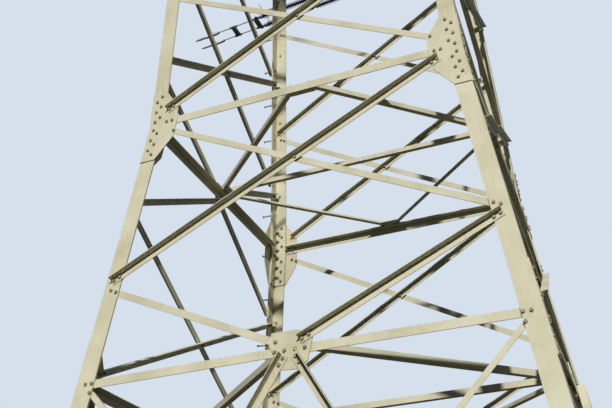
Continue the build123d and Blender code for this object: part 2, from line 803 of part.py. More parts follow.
def box_between(a, b, side_dir, width, height):
    """A straight bar of rectangular section from a to b."""
    axis = (b - a).normalized()
    flat = (side_dir - axis * side_dir.dot(axis)).normalized()
    rise = axis.cross(flat).normalized()
    corners = [(-1, -1), (1, -1), (1, 1), (-1, 1)]
    rings = [[p + flat * (c * width / 2) + rise * (s * height / 2) for c, s in corners]
             for p in (a, b)]
    return solid_between(*rings)


def insulator_set(arm, x_sign, y, attach_x):
    """One tension set: lug, hanger, yoke, two insulators, yoke, ties, yoke, clamps."""
    out = outward[arm.side]
    along = (Vector(x_sign, 0, 0) + up * -string_drop).normalized()
    lug_top = Vector(x_sign * attach_x, 0, arm.level - seat_gap) + out * y
    parts = [box_between(lug_top, lug_top - up * lug_depth, out, lug_thick, lug_length)]
    start = (lug_top + Vector(x_sign * (lug_length / 2 + hanger_gap), 0, 0)
             - up * (lug_depth - hanger_rise))

    def piece(begin, length, lateral, width, height):
        a = start + along * begin + out * lateral
        return box_between(a, a + along * length, out, width, height)

    def yoke(begin, spread):
        return piece(begin, yoke_width, 0, spread + 2 * yoke_overhang, yoke_thick)

    parts.append(piece(0, hanger_length, 0, tie_width, tie_width))
    at = hanger_length + seat_gap
    parts.append(yoke(at, string_spacing))
    at += yoke_width + seat_gap
    for lateral in (-1, 1):
        centre = start + along * at + out * (lateral * string_spacing / 2)
        rise = along.cross(out).normalized()
        ring = []
        for i in range(string_sides):
            angle = 2 * math.pi * (i + 0.5) / string_sides
            ring.append(centre + (out * math.cos(angle) + rise * math.sin(angle)) * string_radius)
        parts.append(solid_between(ring, [p + along * string_length for p in ring]))
    at += string_length + seat_gap
    parts.append(yoke(at, string_spacing))
    at += yoke_width + seat_gap
    for lateral in (-1, 1):
        parts.append(piece(at, tie_length, lateral * conductor_spacing / 2, tie_width, tie_width))
    at += tie_length + seat_gap
    parts.append(yoke(at, conductor_spacing))
    at += yoke_width + seat_gap
    for lateral in (-1, 1):
        parts.append(piece(at, clamp_length, lateral * conductor_spacing / 2, clamp_width,
                           clamp_width))
    return parts


def peak():
    """Four legs that close in, single diagonals, the cap and the earth-wire bracket."""
    stage = peak_stage
    parts = [stage.leg(corner) for corner in range(4)]
    low = upper_top_level
    for index, height in enumerate(peak_panels):
        for side in range(4):
            sign = 1 if (index + side) % 2 else -1
            bottom, top = low + peak_node_split, low + height - peak_node_split
            start = (-sign * (stage.half(bottom) - peak_inset), bottom)
            end = (sign * (stage.half(top) - peak_inset), top)
            parts.append(face_bar(stage, side, start, end, peak_brace, OUTSIDE).solid)
        low += height
    cap = Pos(0, 0, peak_level + seat_gap + cap_thick / 2) * Box(cap_side, cap_side, cap_thick)
    bracket = Pos(0, 0, bracket_height / 2 + peak_level + cap_thick) * Box(
        bracket_width, rib_thick, bracket_height)
    hole = Pos(0, 0, peak_level + cap_thick + bracket_height - bracket_hole_drop) * Rot(90, 0, 0)
    bracket -= hole * Cylinder(bracket_hole_radius, rib_thick * 2)
    parts.append(cap + bracket)
    return parts


def write(name, parts):
    """One node: its solids as a single compound."""
    solids = []
    for part in parts:
        solids += part.solids()
    shape = solids[0] if len(solids) == 1 else Compound(children=solids)
    export_step(shape, f"parts/{name}.step")


def build():
    os.makedirs("parts", exist_ok=True)
    for corner, name in enumerate(leg_names):
        write(f"leg_lower_{name}", [foot(corner)])
        write(f"leg_upper_{name}", [upper_stage.leg(corner), top_stage.leg(corner)])
        write(f"kink_joint_{name}", kink_joint(corner))
    for side, name in enumerate(side_names):
        facing = side in (FRONT, BACK)
        write(f"lower_face_{name}", front_lower(side) if facing else side_lower(side))
        write(f"upper_face_{name}", front_upper(side) if facing else side_upper(side))
        write(f"top_face_{name}", top_face(side))
    belts = {"belt": (lower_stage, belt_half(LEFT, 1, True), belt_plan_brace, belt_plan_ends),
             "kink": (upper_stage, kink_belt(LEFT), kink_plan_brace, kink_plan_ends)}
    for name, belt in belts.items():
        write(f"{name}_plan_bracing", plan_bracing(*belt))
    for side in (FRONT, BACK):
        name = side_names[side]
        lower = Arm(side, lower_arm_level, lower_arm_depth, lower_arm_reach, lower_tip_half,
                    lower_arm_bays, lower_end_hole_spacing)
        upper = Arm(side, upper_arm_level, upper_arm_depth, upper_arm_reach, upper_tip_half,
                    upper_arm_bays, upper_end_hole_spacing)
        for arm, level in ((lower, "lower"), (upper, "upper")):
            write(f"{level}_arm_underside_{name}", arm.underside())
            for sign in (-1, 1):
                hand = side_names[LEFT if across[side].X * sign < 0 else RIGHT]
                write(f"{level}_arm_side_{name}_{hand}", arm.side_frame(sign))
        phases = (("inner", lower, lower_arm_reach - phase_inset),
                  ("upper", upper, lower_arm_reach - phase_inset),
                  ("outer", upper, upper_arm_reach - phase_inset))
        for phase, arm, y in phases:
            attach = abs(arm.bottom(1, y).dot(across[side])) - lower_chord[0] / 2
            sets = insulator_set(arm, 1, y, attach) + insulator_set(arm, -1, y, attach)
            write(f"{phase}_insulators_{name}", sets)
    write("earth_wire_peak", peak())


build()
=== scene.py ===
"""Lattice transmission pylon: finishes, bolts, step bolts and insulators on the steel frame.

The frame gives every rolled angle, gusset and insulator as a plain solid. This script reads
the angles and the insulator rods from those solids, paints the steel, bolts each joint where
two flanges really lie on each other, and dresses the insulator sets.
"""
import logging
import math
from dataclasses import dataclass, field
from enum import Enum
from typing import Iterable, Optional, Sequence

import bmesh
import bpy
import numpy as np
from mathutils import Matrix, Vector
from mathutils.bvhtree import BVHTree


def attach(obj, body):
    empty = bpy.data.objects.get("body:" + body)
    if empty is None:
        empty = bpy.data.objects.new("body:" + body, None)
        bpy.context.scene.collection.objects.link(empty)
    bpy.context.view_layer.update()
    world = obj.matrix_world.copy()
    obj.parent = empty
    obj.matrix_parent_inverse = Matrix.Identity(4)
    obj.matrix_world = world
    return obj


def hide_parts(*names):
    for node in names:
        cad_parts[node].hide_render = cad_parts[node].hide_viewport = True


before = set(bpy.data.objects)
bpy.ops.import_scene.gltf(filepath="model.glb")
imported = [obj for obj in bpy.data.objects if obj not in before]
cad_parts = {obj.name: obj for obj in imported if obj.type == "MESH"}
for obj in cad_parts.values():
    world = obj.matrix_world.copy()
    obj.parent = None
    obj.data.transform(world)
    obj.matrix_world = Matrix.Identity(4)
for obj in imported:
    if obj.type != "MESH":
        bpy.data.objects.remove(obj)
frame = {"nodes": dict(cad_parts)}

log = logging.getLogger("pylon")

MM = 0.001
BODY = "root"
PHOTO_WIDTH = 612
SET_PIN = 20 * MM
UP = Vector((0.0, 0.0, 1.0))

# Some sockets share their name with others on the node, so they go by their place on it.
MIX_FIRST, MIX_SECOND = 6, 7
RANDOM_LOW, RANDOM_HIGH = 2, 3


class Slot(Enum):
    """The material slots of the record."""

    STEEL = "painted_steel"
    INSULATOR = "insulator_set"


class Outward(Enum):
    """The four faces of the tower, by the direction each one looks."""

    FRONT = (0.0, -1.0, 0.0)
    RIGHT = (1.0, 0.0, 0.0)
    BACK = (0.0, 1.0, 0.0)
    LEFT = (-1.0, 0.0, 0.0)

    @property
    def vector(self) -> Vector:
        """The direction as a vector."""
        return Vector(self.value)


def linear(hex_colour: str) -> tuple[float, float, float, float]:
    """Turns an sRGB hex colour to linear light.

    Args:
        hex_colour: Six hex digits after a hash sign.

    Returns:
        Red, green, blue and an alpha of one, all linear.
    """
    parts = [int(hex_colour[i:i + 2], 16) / 255 for i in (1, 3, 5)]
    light = [c / 12.92 if c <= 0.04045 else ((c + 0.055) / 1.055) ** 2.4 for c in parts]
    return light[0], light[1], light[2], 1.0


def add_node(tree: bpy.types.NodeTree, kind: str, inputs: Optional[dict] = None,
             **settings: object) -> bpy.types.Node:
    """Adds a node with its settings, and sets or links its inputs.

    Args:
        tree: The tree that gets the node.
        kind: The node's type name.
        inputs: What goes into each input, by its name or place: a value, a socket, a node,
            which stands for the first of its outputs in use, or a list of these.
        **settings: Properties of the node itself.

    Returns:
        The new node.
    """
    made = tree.nodes.new(kind)
    for name, value in settings.items():
        setattr(made, name, value)
    for key, given in (inputs or {}).items():
        for value in given if isinstance(given, list) else [given]:
            if isinstance(value, bpy.types.Node):
                value = next(s for s in value.outputs if s.enabled)
            if isinstance(value, bpy.types.NodeSocket):
                tree.links.new(value, made.inputs[key])
            else:
                made.inputs[key].default_value = value
    return made


def per_mm(size: float) -> float:
    """Scale of a pattern, on coordinates in metres, whose cells are this many mm across."""
    return 1.0 / (size * MM)


def new_material(name: str) -> tuple[bpy.types.Material, bpy.types.NodeTree,
                                     bpy.types.NodeSocket]:
    """Makes a material with an empty tree but for its coordinates.

    Args:
        name: The real material's common name.

    Returns:
        The material, its node tree and the socket of its object coordinates.
    """
    material = bpy.data.materials.new(name)
    material.use_nodes = True
    tree = material.node_tree
    tree.nodes.clear()
    return material, tree, add_node(tree, "ShaderNodeTexCoord").outputs["Object"]


def surface(tree: bpy.types.NodeTree, inputs: dict[str, object]) -> None:
    """Ends a material's tree in a Principled shader.

    Args:
        tree: The material's tree.
        inputs: What goes into the shader's sockets, by their names.
    """
    shader = add_node(tree, "ShaderNodeBsdfPrincipled", inputs)
    add_node(tree, "ShaderNodeOutputMaterial", {"Surface": shader})


def patches(tree: bpy.types.NodeTree, place: object, size_mm: float,
            edge: tuple[float, float], detail: float = 3.0) -> bpy.types.Node:
    """Soft-edged patches of chance shape, about a real size across.

    Args:
        tree: The material's tree.
        place: Object coordinates, in metres.
        size_mm: Width of a patch.
        edge: Noise values at which a patch begins and is full.
        detail: How much finer detail its edge has.

    Returns:
        A mask, 0 outside the patches and 1 inside.
    """
    chance = add_node(tree, "ShaderNodeTexNoise",
                      {"Vector": place, "Scale": per_mm(size_mm), "Detail": detail})
    return add_node(tree, "ShaderNodeMapRange",
                    {"Value": chance, "From Min": edge[0], "From Max": edge[1]},
                    interpolation_type="SMOOTHSTEP")


def coat(tree: bpy.types.NodeTree, below: object, top: str, mask: object,
         share: float) -> bpy.types.Node:
    """Lays a colour over another where a mask says.

    Args:
        tree: The material's tree.
        below: The colour underneath.
        top: The colour laid on, as hex.
        mask: Where it lies.
        share: How much it covers there.

    Returns:
        The two as one colour.
    """
    cover = add_node(tree, "ShaderNodeMath", {0: mask, 1: share}, operation="MULTIPLY")
    return add_node(tree, "ShaderNodeMix",
                    {"Factor": cover, MIX_FIRST: below, MIX_SECOND: linear(top)},
                    data_type="RGBA")


def tones(tree: bpy.types.NodeTree, value: object, steps: Sequence[float],
          colours: Sequence[str]) -> bpy.types.Node:
    """Passes from each colour to the next as a value rises.

    Args:
        tree: The material's tree.
        value: What rises.
        steps: The value at which each colour is reached.
        colours: The colours, as hex.

    Returns:
        The colour.
    """
    colour: object = linear(colours[0])
    for low, high, paint in zip(steps, steps[1:], colours[1:]):
        share = add_node(tree, "ShaderNodeMapRange",
                         {"Value": value, "From Min": low, "From Max": high})
        colour = add_node(tree, "ShaderNodeMix",
                          {"Factor": share, MIX_FIRST: colour, MIX_SECOND: linear(paint)},
                          data_type="RGBA")
    return colour


@dataclass(frozen=True)
class TowerPaint:
    """Alkyd paint brushed on galvanised angle, chalky with years of weather.

    Chalking has taken its gloss, so it looks matt and slightly mottled. Rain has washed grime
    down it in streaks, and the corners between the bars are darkened: dirt there, and painted
    shade.
    """

    name: str = "Weathered_tower_paint"
    clean: str = "#D6D2B8"
    faded: str = "#DEDBC4"
    dull: str = "#C6C2A6"
    # Grime colour: for the rain streaks, and also as painted shade in the corners.
    grime_and_shade: str = "#6E6A50"
    rust: str = "#7A4526"
    # The tone changes with each stroke of a wide brush, and the mottle is the chalk itself.
    tone_mm: float = 420.0
    mottle_mm: float = 38.0
    mottle_share: float = 0.32
    # Real runs are 5 mm wide and the rust spots 2 mm. Both are drawn coarser, to show.
    streak_mm: float = 16.0
    streak_stretch: float = 14.0
    streak_patch_mm: float = 252.0
    streak_share: float = 0.22
    speck_mm: float = 9.0
    speck_share: float = 0.65
    # Brush marks are 1 mm apart, and are drawn coarser too.
    brush_mm: float = 5.0
    brush_depth_mm: float = 0.4
    brush_strength: float = 0.12
    # Reach and strength of the darkened corners, painted shade with dirt.
    corner_mm: float = 30.0
    corner_shade_and_dirt_share: float = 0.55
    roughness: float = 0.62
    gloss: float = 0.35
    # Noise values at which each tone is reached, and at which patches begin and are full.
    tone_steps: tuple[float, float, float] = (0.30, 0.52, 0.72)
    mottle_edge: tuple[float, float] = (0.52, 0.75)
    streak_edge: tuple[float, float] = (0.50, 0.72)
    streak_patch_edge: tuple[float, float] = (0.42, 0.66)
    corner_edge: tuple[float, float] = (0.12, 0.75)
    speck_edge: tuple[float, float] = (0.70, 0.78)
    speck_patch_edge: tuple[float, float] = (0.56, 0.36)

    def build(self) -> bpy.types.Material:
        """Makes the material.

        Returns:
            The material.
        """
        material, tree, place = new_material(self.name)
        tone = add_node(tree, "ShaderNodeTexNoise",
                        {"Vector": place, "Scale": per_mm(self.tone_mm), "Detail": 3.0})
        colour = tones(tree, tone, self.tone_steps, (self.dull, self.clean, self.faded))
        mottle = patches(tree, place, self.mottle_mm, self.mottle_edge, detail=5.0)
        colour = coat(tree, colour, self.dull, mottle, self.mottle_share)
        colour = coat(tree, colour, self.grime_and_shade, self.streaks(tree, place), self.streak_share)
        # Painted shade: corners that the occlusion test finds shut in take the grime colour, dirt
        # and shade together.
        colour = coat(tree, colour, self.grime_and_shade, self.corners(tree), self.corner_shade_and_dirt_share)
        colour = coat(tree, colour, self.rust, self.specks(tree, place, tone),
                      self.speck_share)
        brushed = add_node(tree, "ShaderNodeTexNoise",
                           {"Vector": place, "Scale": per_mm(self.brush_mm), "Detail": 2.0})
        marks = add_node(tree, "ShaderNodeBump",
                         {"Height": brushed, "Strength": self.brush_strength,
                          "Distance": self.brush_depth_mm * MM})
        surface(tree, {"Base Color": colour, "Roughness": self.roughness,
                       "Specular IOR Level": self.gloss, "Normal": marks})
        return material

    def streaks(self, tree: bpy.types.NodeTree,
                place: bpy.types.NodeSocket) -> bpy.types.Node:
        """Grime washed down in narrow upright streaks, in patches.

        Args:
            tree: The material's tree.
            place: Object coordinates.

        Returns:
            A mask of the streaks.
        """
        drawn_out = add_node(tree, "ShaderNodeMapping",
                             {"Vector": place, "Scale": (1.0, 1.0, 1.0 / self.streak_stretch)})
        runs = patches(tree, drawn_out, self.streak_mm, self.streak_edge, detail=4.0)
        where = patches(tree, place, self.streak_patch_mm, self.streak_patch_edge, detail=2.0)
        return add_node(tree, "ShaderNodeMath", {0: runs, 1: where}, operation="MULTIPLY")

    def corners(self, tree: bpy.types.NodeTree) -> bpy.types.Node:
        """Darkening in the corners where bars and plates meet, found by an occlusion test: painted
        shade, with the dirt held there.

        Args:
            tree: The material's tree.

        Returns:
            A mask of the painted shade and dirt in the corners.
        """
        # Occlusion darkens where steel closes round a point, so this is painted shade as well as
        # dirt.
        open_to = add_node(tree, "ShaderNodeAmbientOcclusion",
                           {"Distance": self.corner_mm * MM}, samples=6)
        shut_in = add_node(tree, "ShaderNodeMath", {0: 1.0, 1: open_to.outputs["AO"]},
                           operation="SUBTRACT")
        return add_node(tree, "ShaderNodeMapRange",
                        {"Value": shut_in, "From Min": self.corner_edge[0],
                         "From Max": self.corner_edge[1]},
                        interpolation_type="SMOOTHSTEP")

    def specks(self, tree: bpy.types.NodeTree, place: bpy.types.NodeSocket,
               tone: bpy.types.Node) -> bpy.types.Node:
        """Small rust spots where the paint has failed, thicker in the duller patches.

        Args:
            tree: The material's tree.
            place: Object coordinates.
            tone: The noise that the paint's tone follows.

        Returns:
            A mask of the spots.
        """
        spots = patches(tree, place, self.speck_mm, self.speck_edge, detail=4.0)
        where = add_node(tree, "ShaderNodeMapRange",
                         {"Value": tone, "From Min": self.speck_patch_edge[0],
                          "From Max": self.speck_patch_edge[1]},
                         interpolation_type="SMOOTHSTEP")
        return add_node(tree, "ShaderNodeMath", {0: spots, 1: where}, operation="MULTIPLY")


@dataclass(frozen=True)
class BoltPaint:
    """The same paint dabbed over galvanised bolts, thin on their edges, with some rust.

    It is darker than on the bars: partly where it wears through to the zinc and holds dirt, and
    partly painted shade for the shade that the small heads sit in.
    """

    name: str = "Painted_bolt_steel"
    # Both tones are kept dark: wear and dirt, and painted shade for the bolts' own shade.
    clean: str = "#9C977A"
    worn_and_shaded: str = "#6A664F"
    rust: str = "#75492B"
    # About one patch to a bolt's head, and rust on every tenth bolt or so.
    patch_mm: float = 14.0
    rusty_mm: float = 126.0
    rust_share: float = 0.55
    roughness: float = 0.55
    gloss: float = 0.4
    tone_steps: tuple[float, float] = (0.36, 0.52)
    rusty_edge: tuple[float, float] = (0.60, 0.70)

    def build(self) -> bpy.types.Material:
        """Makes the material.

        Returns:
            The material.
        """
        material, tree, place = new_material(self.name)
        patch = add_node(tree, "ShaderNodeTexNoise",
                         {"Vector": place, "Scale": per_mm(self.patch_mm), "Detail": 3.0})
        colour = tones(tree, patch, self.tone_steps, (self.worn_and_shaded, self.clean))
        rusty = patches(tree, place, self.rusty_mm, self.rusty_edge, detail=2.0)
        colour = coat(tree, colour, self.rust, rusty, self.rust_share)
        surface(tree, {"Base Color": colour, "Roughness": self.roughness,
                       "Specular IOR Level": self.gloss})
        return material


@dataclass(frozen=True)
class GalvanisedSteel:
    """Hot-dipped zinc on forged steel, years old.

    It has gone dull grey, and its crystals show as faint facets, each with its own sheen.
    """

    name: str = "Hot_dip_galvanised_steel"
    light: str = "#A3A7A8"
    dark: str = "#747A7E"
    spangle_mm: float = 12.0
    stain_mm: float = 160.0
    stain_share: float = 0.5
    smoothest: float = 0.38
    roughest: float = 0.55
    metallic: float = 0.85
    tone_steps: tuple[float, float] = (0.2, 0.8)
    stain_edge: tuple[float, float] = (0.5, 0.75)

    def build(self) -> bpy.types.Material:
        """Makes the material.

        Returns:
            The material.
        """
        material, tree, place = new_material(self.name)
        crystals = add_node(tree, "ShaderNodeTexVoronoi",
                            {"Vector": place, "Scale": per_mm(self.spangle_mm)})
        grey = add_node(tree, "ShaderNodeRGBToBW", {"Color": crystals.outputs["Color"]})
        colour = tones(tree, grey, self.tone_steps, (self.dark, self.light))
        stain = patches(tree, place, self.stain_mm, self.stain_edge)
        colour = coat(tree, colour, self.dark, stain, self.stain_share)
        rough = add_node(tree, "ShaderNodeMapRange",
                         {"Value": grey, "To Min": self.smoothest, "To Max": self.roughest})
        surface(tree, {"Base Color": colour, "Roughness": rough, "Metallic": self.metallic})
        return material


@dataclass(frozen=True)
class CastAluminium:
    """Sand-cast aluminium under its own pale oxide, which makes it matt and nearly white."""

    name: str = "Weathered_cast_aluminium"
    bright: str = "#EFF0EE"
    dull: str = "#CDCFCD"
    # The sand's grain is under 1 mm, and is drawn coarser to show.
    grain_mm: float = 7.0
    grain_depth_mm: float = 0.5
    grain_strength: float = 0.25
    stain_mm: float = 120.0
    roughness: float = 0.5
    metallic: float = 0.1
    tone_steps: tuple[float, float] = (0.40, 0.58)

    def build(self) -> bpy.types.Material:
        """Makes the material.

        Returns:
            The material.
        """
        material, tree, place = new_material(self.name)
        stain = add_node(tree, "ShaderNodeTexNoise",
                         {"Vector": place, "Scale": per_mm(self.stain_mm), "Detail": 4.0})
        colour = tones(tree, stain, self.tone_steps, (self.dull, self.bright))
        grain = add_node(tree, "ShaderNodeTexNoise",
                         {"Vector": place, "Scale": per_mm(self.grain_mm), "Detail": 2.0})
        sandy = add_node(tree, "ShaderNodeBump",
                         {"Height": grain, "Strength": self.grain_strength,
                          "Distance": self.grain_depth_mm * MM})
        surface(tree, {"Base Color": colour, "Metallic": self.metallic,
                       "Roughness": self.roughness, "Normal": sandy})
        return material


@dataclass(frozen=True)
class GlazedPorcelain:
    """Brown electrical porcelain under a clear fired glaze.

    The glaze gives a deep colour and sharp highlights, broken where dust has settled.
    """

    name: str = "Brown_glazed_porcelain"
    glaze: str = "#24120C"
    thin: str = "#3A1D13"
    dust: str = "#7C6A58"
    flow_mm: float = 45.0
    dust_mm: float = 90.0
    dust_share: float = 0.35
    clean_roughness: float = 0.14
    dusty_roughness: float = 0.45
    coat_weight: float = 0.6
    coat_roughness: float = 0.08
    tone_steps: tuple[float, float] = (0.38, 0.68)
    dust_edge: tuple[float, float] = (0.50, 0.78)

    def build(self) -> bpy.types.Material:
        """Makes the material.

        Returns:
            The material.
        """
        material, tree, place = new_material(self.name)
        flow = add_node(tree, "ShaderNodeTexNoise",
                        {"Vector": place, "Scale": per_mm(self.flow_mm), "Detail": 3.0})
        colour = tones(tree, flow, self.tone_steps, (self.glaze, self.thin))
        dusty = patches(tree, place, self.dust_mm, self.dust_edge, detail=4.0)
        colour = coat(tree, colour, self.dust, dusty, self.dust_share)
        rough = add_node(tree, "ShaderNodeMapRange",
                         {"Value": dusty, "To Min": self.clean_roughness,
                          "To Max": self.dusty_roughness})
        surface(tree, {"Base Color": colour, "Roughness": rough,
                       "Coat Weight": self.coat_weight,
                       "Coat Roughness": self.coat_roughness})
        return material


@dataclass(frozen=True)
class PaleFloor:
    """Floor paint rolled on a cement screed: pale, matt and faintly mottled.

    Only the camera sees it pale, helped by a little light of its own that leaves the shadow
    in place. Other light meets a darker tone, so that little of it bounces up to the
    undersides of the steel.
    """

    name: str = "Painted_screed"
    light: str = "#F4F5F6"
    shade: str = "#EBEDEE"
    bounce: str = "#4C4E4A"
    mottle_mm: float = 900.0
    camera_lift: float = 0.27
    roughness: float = 0.9
    tone_steps: tuple[float, float] = (0.3, 0.7)

    def build(self) -> bpy.types.Material:
        """Makes the material.

        Returns:
            The material.
        """
        material, tree, place = new_material(self.name)
        mottle = add_node(tree, "ShaderNodeTexNoise",
                          {"Vector": place, "Scale": per_mm(self.mottle_mm), "Detail": 3.0})
        pale = tones(tree, mottle, self.tone_steps, (self.shade, self.light))
        seen = add_node(tree, "ShaderNodeLightPath").outputs["Is Camera Ray"]
        colour = add_node(tree, "ShaderNodeMix",
                          {"Factor": seen, MIX_FIRST: linear(self.bounce), MIX_SECOND: pale},
                          data_type="RGBA")
        lift = add_node(tree, "ShaderNodeMath", {0: seen, 1: self.camera_lift},
                        operation="MULTIPLY")
        surface(tree, {"Base Color": colour, "Roughness": self.roughness,
                       "Specular IOR Level": 0.0, "Emission Color": linear(self.light),
                       "Emission Strength": lift})
        return material


@dataclass(frozen=True)
class AngleBar:
    """One rolled angle, read from a node's solid.

    Attributes:
        node: The node it belongs to.
        ends: Its heel line, as two points.
        flanges: Unit vectors along its two flanges, away from the heel.
        width: Flange width.
        thick: Flange thickness.
    """

    node: str
    ends: tuple[Vector, Vector]
    flanges: tuple[Vector, Vector]
    width: float
    thick: float

    @property
    def axis(self) -> Vector:
        """Unit vector from the first end to the second."""
        return (self.ends[1] - self.ends[0]).normalized()

    @property
    def length(self) -> float:
        """Length along the heel."""
        return (self.ends[1] - self.ends[0]).length

    def outward(self, which: int) -> Vector:
        """Normal of a flange's outer face, which looks away from the other flange."""
        own, other = self.flanges[which], self.flanges[1 - which]
        return -(other - own * other.dot(own)).normalized()

    def on_flange(self, which: int, along: float, gauge: float) -> Vector:
        """A point in the middle of a flange's thickness.

        Args:
            which: The flange, 0 or 1.
            along: Distance from the first end.
            gauge: Distance from the heel.

        Returns:
            The point.
        """
        heel = self.ends[0] + self.axis * along
        return heel + self.flanges[which] * gauge - self.outward(which) * (self.thick / 2)


class SolidReader:
    """Splits a node's mesh into its separate solids and reads angles and rods from them.

    Attributes:
        name: The node's name.
        merge_grid: Corners that lie together within this count as one.
        slenderness: Least length of a bar or rod, in widths.
        angle_corners: Corners of an angle's section.
        points: The merged corners.
        triangles: Their triangles.
        groups: The corners' indices, solid by solid.
    """

    merge_grid: float = 0.02 * MM
    slenderness: float = 4.0
    angle_corners: int = 6

    def __init__(self, name: str, mesh: bpy.types.Mesh) -> None:
        """Merges the loose triangles and groups them into solids.

        Args:
            name: The node's name.
            mesh: The node's mesh, which stays as it is.
        """
        self.name = name
        corners = np.zeros(len(mesh.vertices) * 3)
        mesh.vertices.foreach_get("co", corners)
        corners = corners.reshape(-1, 3)
        keys = np.round(corners / self.merge_grid).astype(np.int64)
        _, first, merged = np.unique(keys, axis=0, return_index=True, return_inverse=True)
        self.points = corners[first]
        mesh.calc_loop_triangles()
        loose = np.zeros(len(mesh.loop_triangles) * 3, dtype=np.int32)
        mesh.loop_triangles.foreach_get("vertices", loose)
        self.triangles = merged.reshape(-1)[loose].reshape(-1, 3)
        self.groups = self.group()

    def group(self) -> list[np.ndarray]:
        """Sorts the points into connected solids.

        Returns:
            The point indices of each solid.
        """
        parent = np.arange(len(self.points))

        def root(i: int) -> int:
            """Follows the links to a group's first point.

            Args:
                i: A point's index.

            Returns:
                The first point's index.
            """
            while parent[i] != i:
                parent[i] = parent[parent[i]]
                i = parent[i]
            return i

        for a, b, c in self.triangles:
            parent[root(b)] = root(a)
            parent[root(c)] = root(a)
        roots = np.array([root(i) for i in range(len(parent))])
        return [np.flatnonzero(roots == r) for r in np.unique(roots)]

    def prisms(self, corners: int) -> list[tuple[np.ndarray, np.ndarray]]:
        """Every long prism with a given number of corners at each end.

        Args:
            corners: Corners of its section.

        Returns:
            For each prism, the rings of corners at its two ends, matched one to one.
        """
        found = []
        for members in self.groups:
            if len(members) != 2 * corners:
                continue
            cloud = self.points[members]
            centred = cloud - cloud.mean(axis=0)
            axis = np.linalg.svd(centred)[2][0]
            along = centred @ axis
            order = np.argsort(along)
            low, high = cloud[order[:corners]], cloud[order[corners:]]
            length = (high.mean(axis=0) - low.mean(axis=0)) @ axis
            if length < self.slenderness * np.ptp(low, axis=0).max():
                continue
            flat_high = high - np.outer(high @ axis, axis)
            flat_low = low - np.outer(low @ axis, axis)
            gaps = np.linalg.norm(flat_low[:, None] - flat_high[None], axis=2)
            found.append((low, high[gaps.argmin(axis=1)]))
        return found

    def angle_bars(self) -> list[AngleBar]:
        """Reads every rolled angle in the node.

        Returns:
            The bars.
        """
        bars = []
        for low, high in self.prisms(self.angle_corners):
            gaps = np.linalg.norm(low[:, None] - low[None], axis=2)
            toe_one, toe_two = np.unravel_index(gaps.argmax(), gaps.shape)
            nearer = np.minimum(gaps[toe_one], gaps[toe_two])
            nearer[[toe_one, toe_two]] = 0
            heel = int(nearer.argmax())
            rest = [i for i in range(self.angle_corners) if i not in (heel, toe_one, toe_two)]
            thick = min(gaps[toe_one][rest].min(), gaps[toe_two][rest].min())
            flanges = [Vector(low[toe] - low[heel]) for toe in (toe_one, toe_two)]
            axis = Vector(high[heel] - low[heel]).normalized()
            square = [(f - axis * f.dot(axis)) for f in flanges]
            bars.append(AngleBar(self.name, (Vector(low[heel]), Vector(high[heel])),
                                 (square[0].normalized(), square[1].normalized()),
                                 square[0].length, float(thick)))
        return bars


class Steelwork:
    """All the steel of the frame as one body that a joint can be felt through.

    Attributes:
        gap_limit: Widest gap between two plates that count as lying on each other.
        step: How far past a surface the next ray starts.
        reach: Length of a ray.
        surface_limit: The most surfaces that are felt for.
        tree: The steel's faces.
        readers: The nodes' readers by name.
        bars: The nodes' angles by name.
    """

    gap_limit: float = 4.5 * MM
    step: float = 0.03 * MM
    reach: float = 0.2
    surface_limit: int = 9

    def __init__(self, nodes: dict[str, bpy.types.Object]) -> None:
        """Reads every node.

        Args:
            nodes: The frame's nodes by name.
        """
        self.readers = {name: SolidReader(name, o.data) for name, o in nodes.items()}
        points: list[Vector] = []
        faces: list[tuple[int, int, int]] = []
        for reader in self.readers.values():
            base = len(points)
            points += [Vector(p) for p in reader.points]
            faces += [tuple(int(i) + base for i in t) for t in reader.triangles]
        self.tree = BVHTree.FromPolygons(points, faces)
        self.bars = {name: r.angle_bars() for name, r in self.readers.items()}

    def stack(self, start: Vector, direction: Vector) -> tuple[float, int]:
        """Measures the plates that lie on each other, out from inside one of them.

        Args:
            start: A point inside the first plate.
            direction: Which way to feel, as a unit vector.

        Returns:
            Distance to the last plate's far face, and how many more plates there were.
        """
        surfaces: list[float] = []
        travelled = 0.0
        while len(surfaces) < self.surface_limit:
            _, _, _, distance = self.tree.ray_cast(
                start + direction * (travelled + self.step), direction, self.reach)
            if distance is None:
                break
            travelled += self.step + distance
            surfaces.append(travelled)
        if not surfaces:
            return 0.0, 0
        depth, plates, index = surfaces[0], 0, 1
        while index + 1 < len(surfaces) and surfaces[index] - depth < self.gap_limit:
            depth = surfaces[index + 1]
            plates += 1
            index += 2
        return depth, plates


@dataclass(frozen=True)
class BoltPoint:
    """One bolt: where its head sits, which way it looks, and how much steel it clamps."""

    place: Vector
    axis: Vector
    grip: float


@dataclass(frozen=True)
class PackerPoint:
    """A pile of packing washers between two crossed bars."""

    place: Vector
    axis: Vector
    height: float


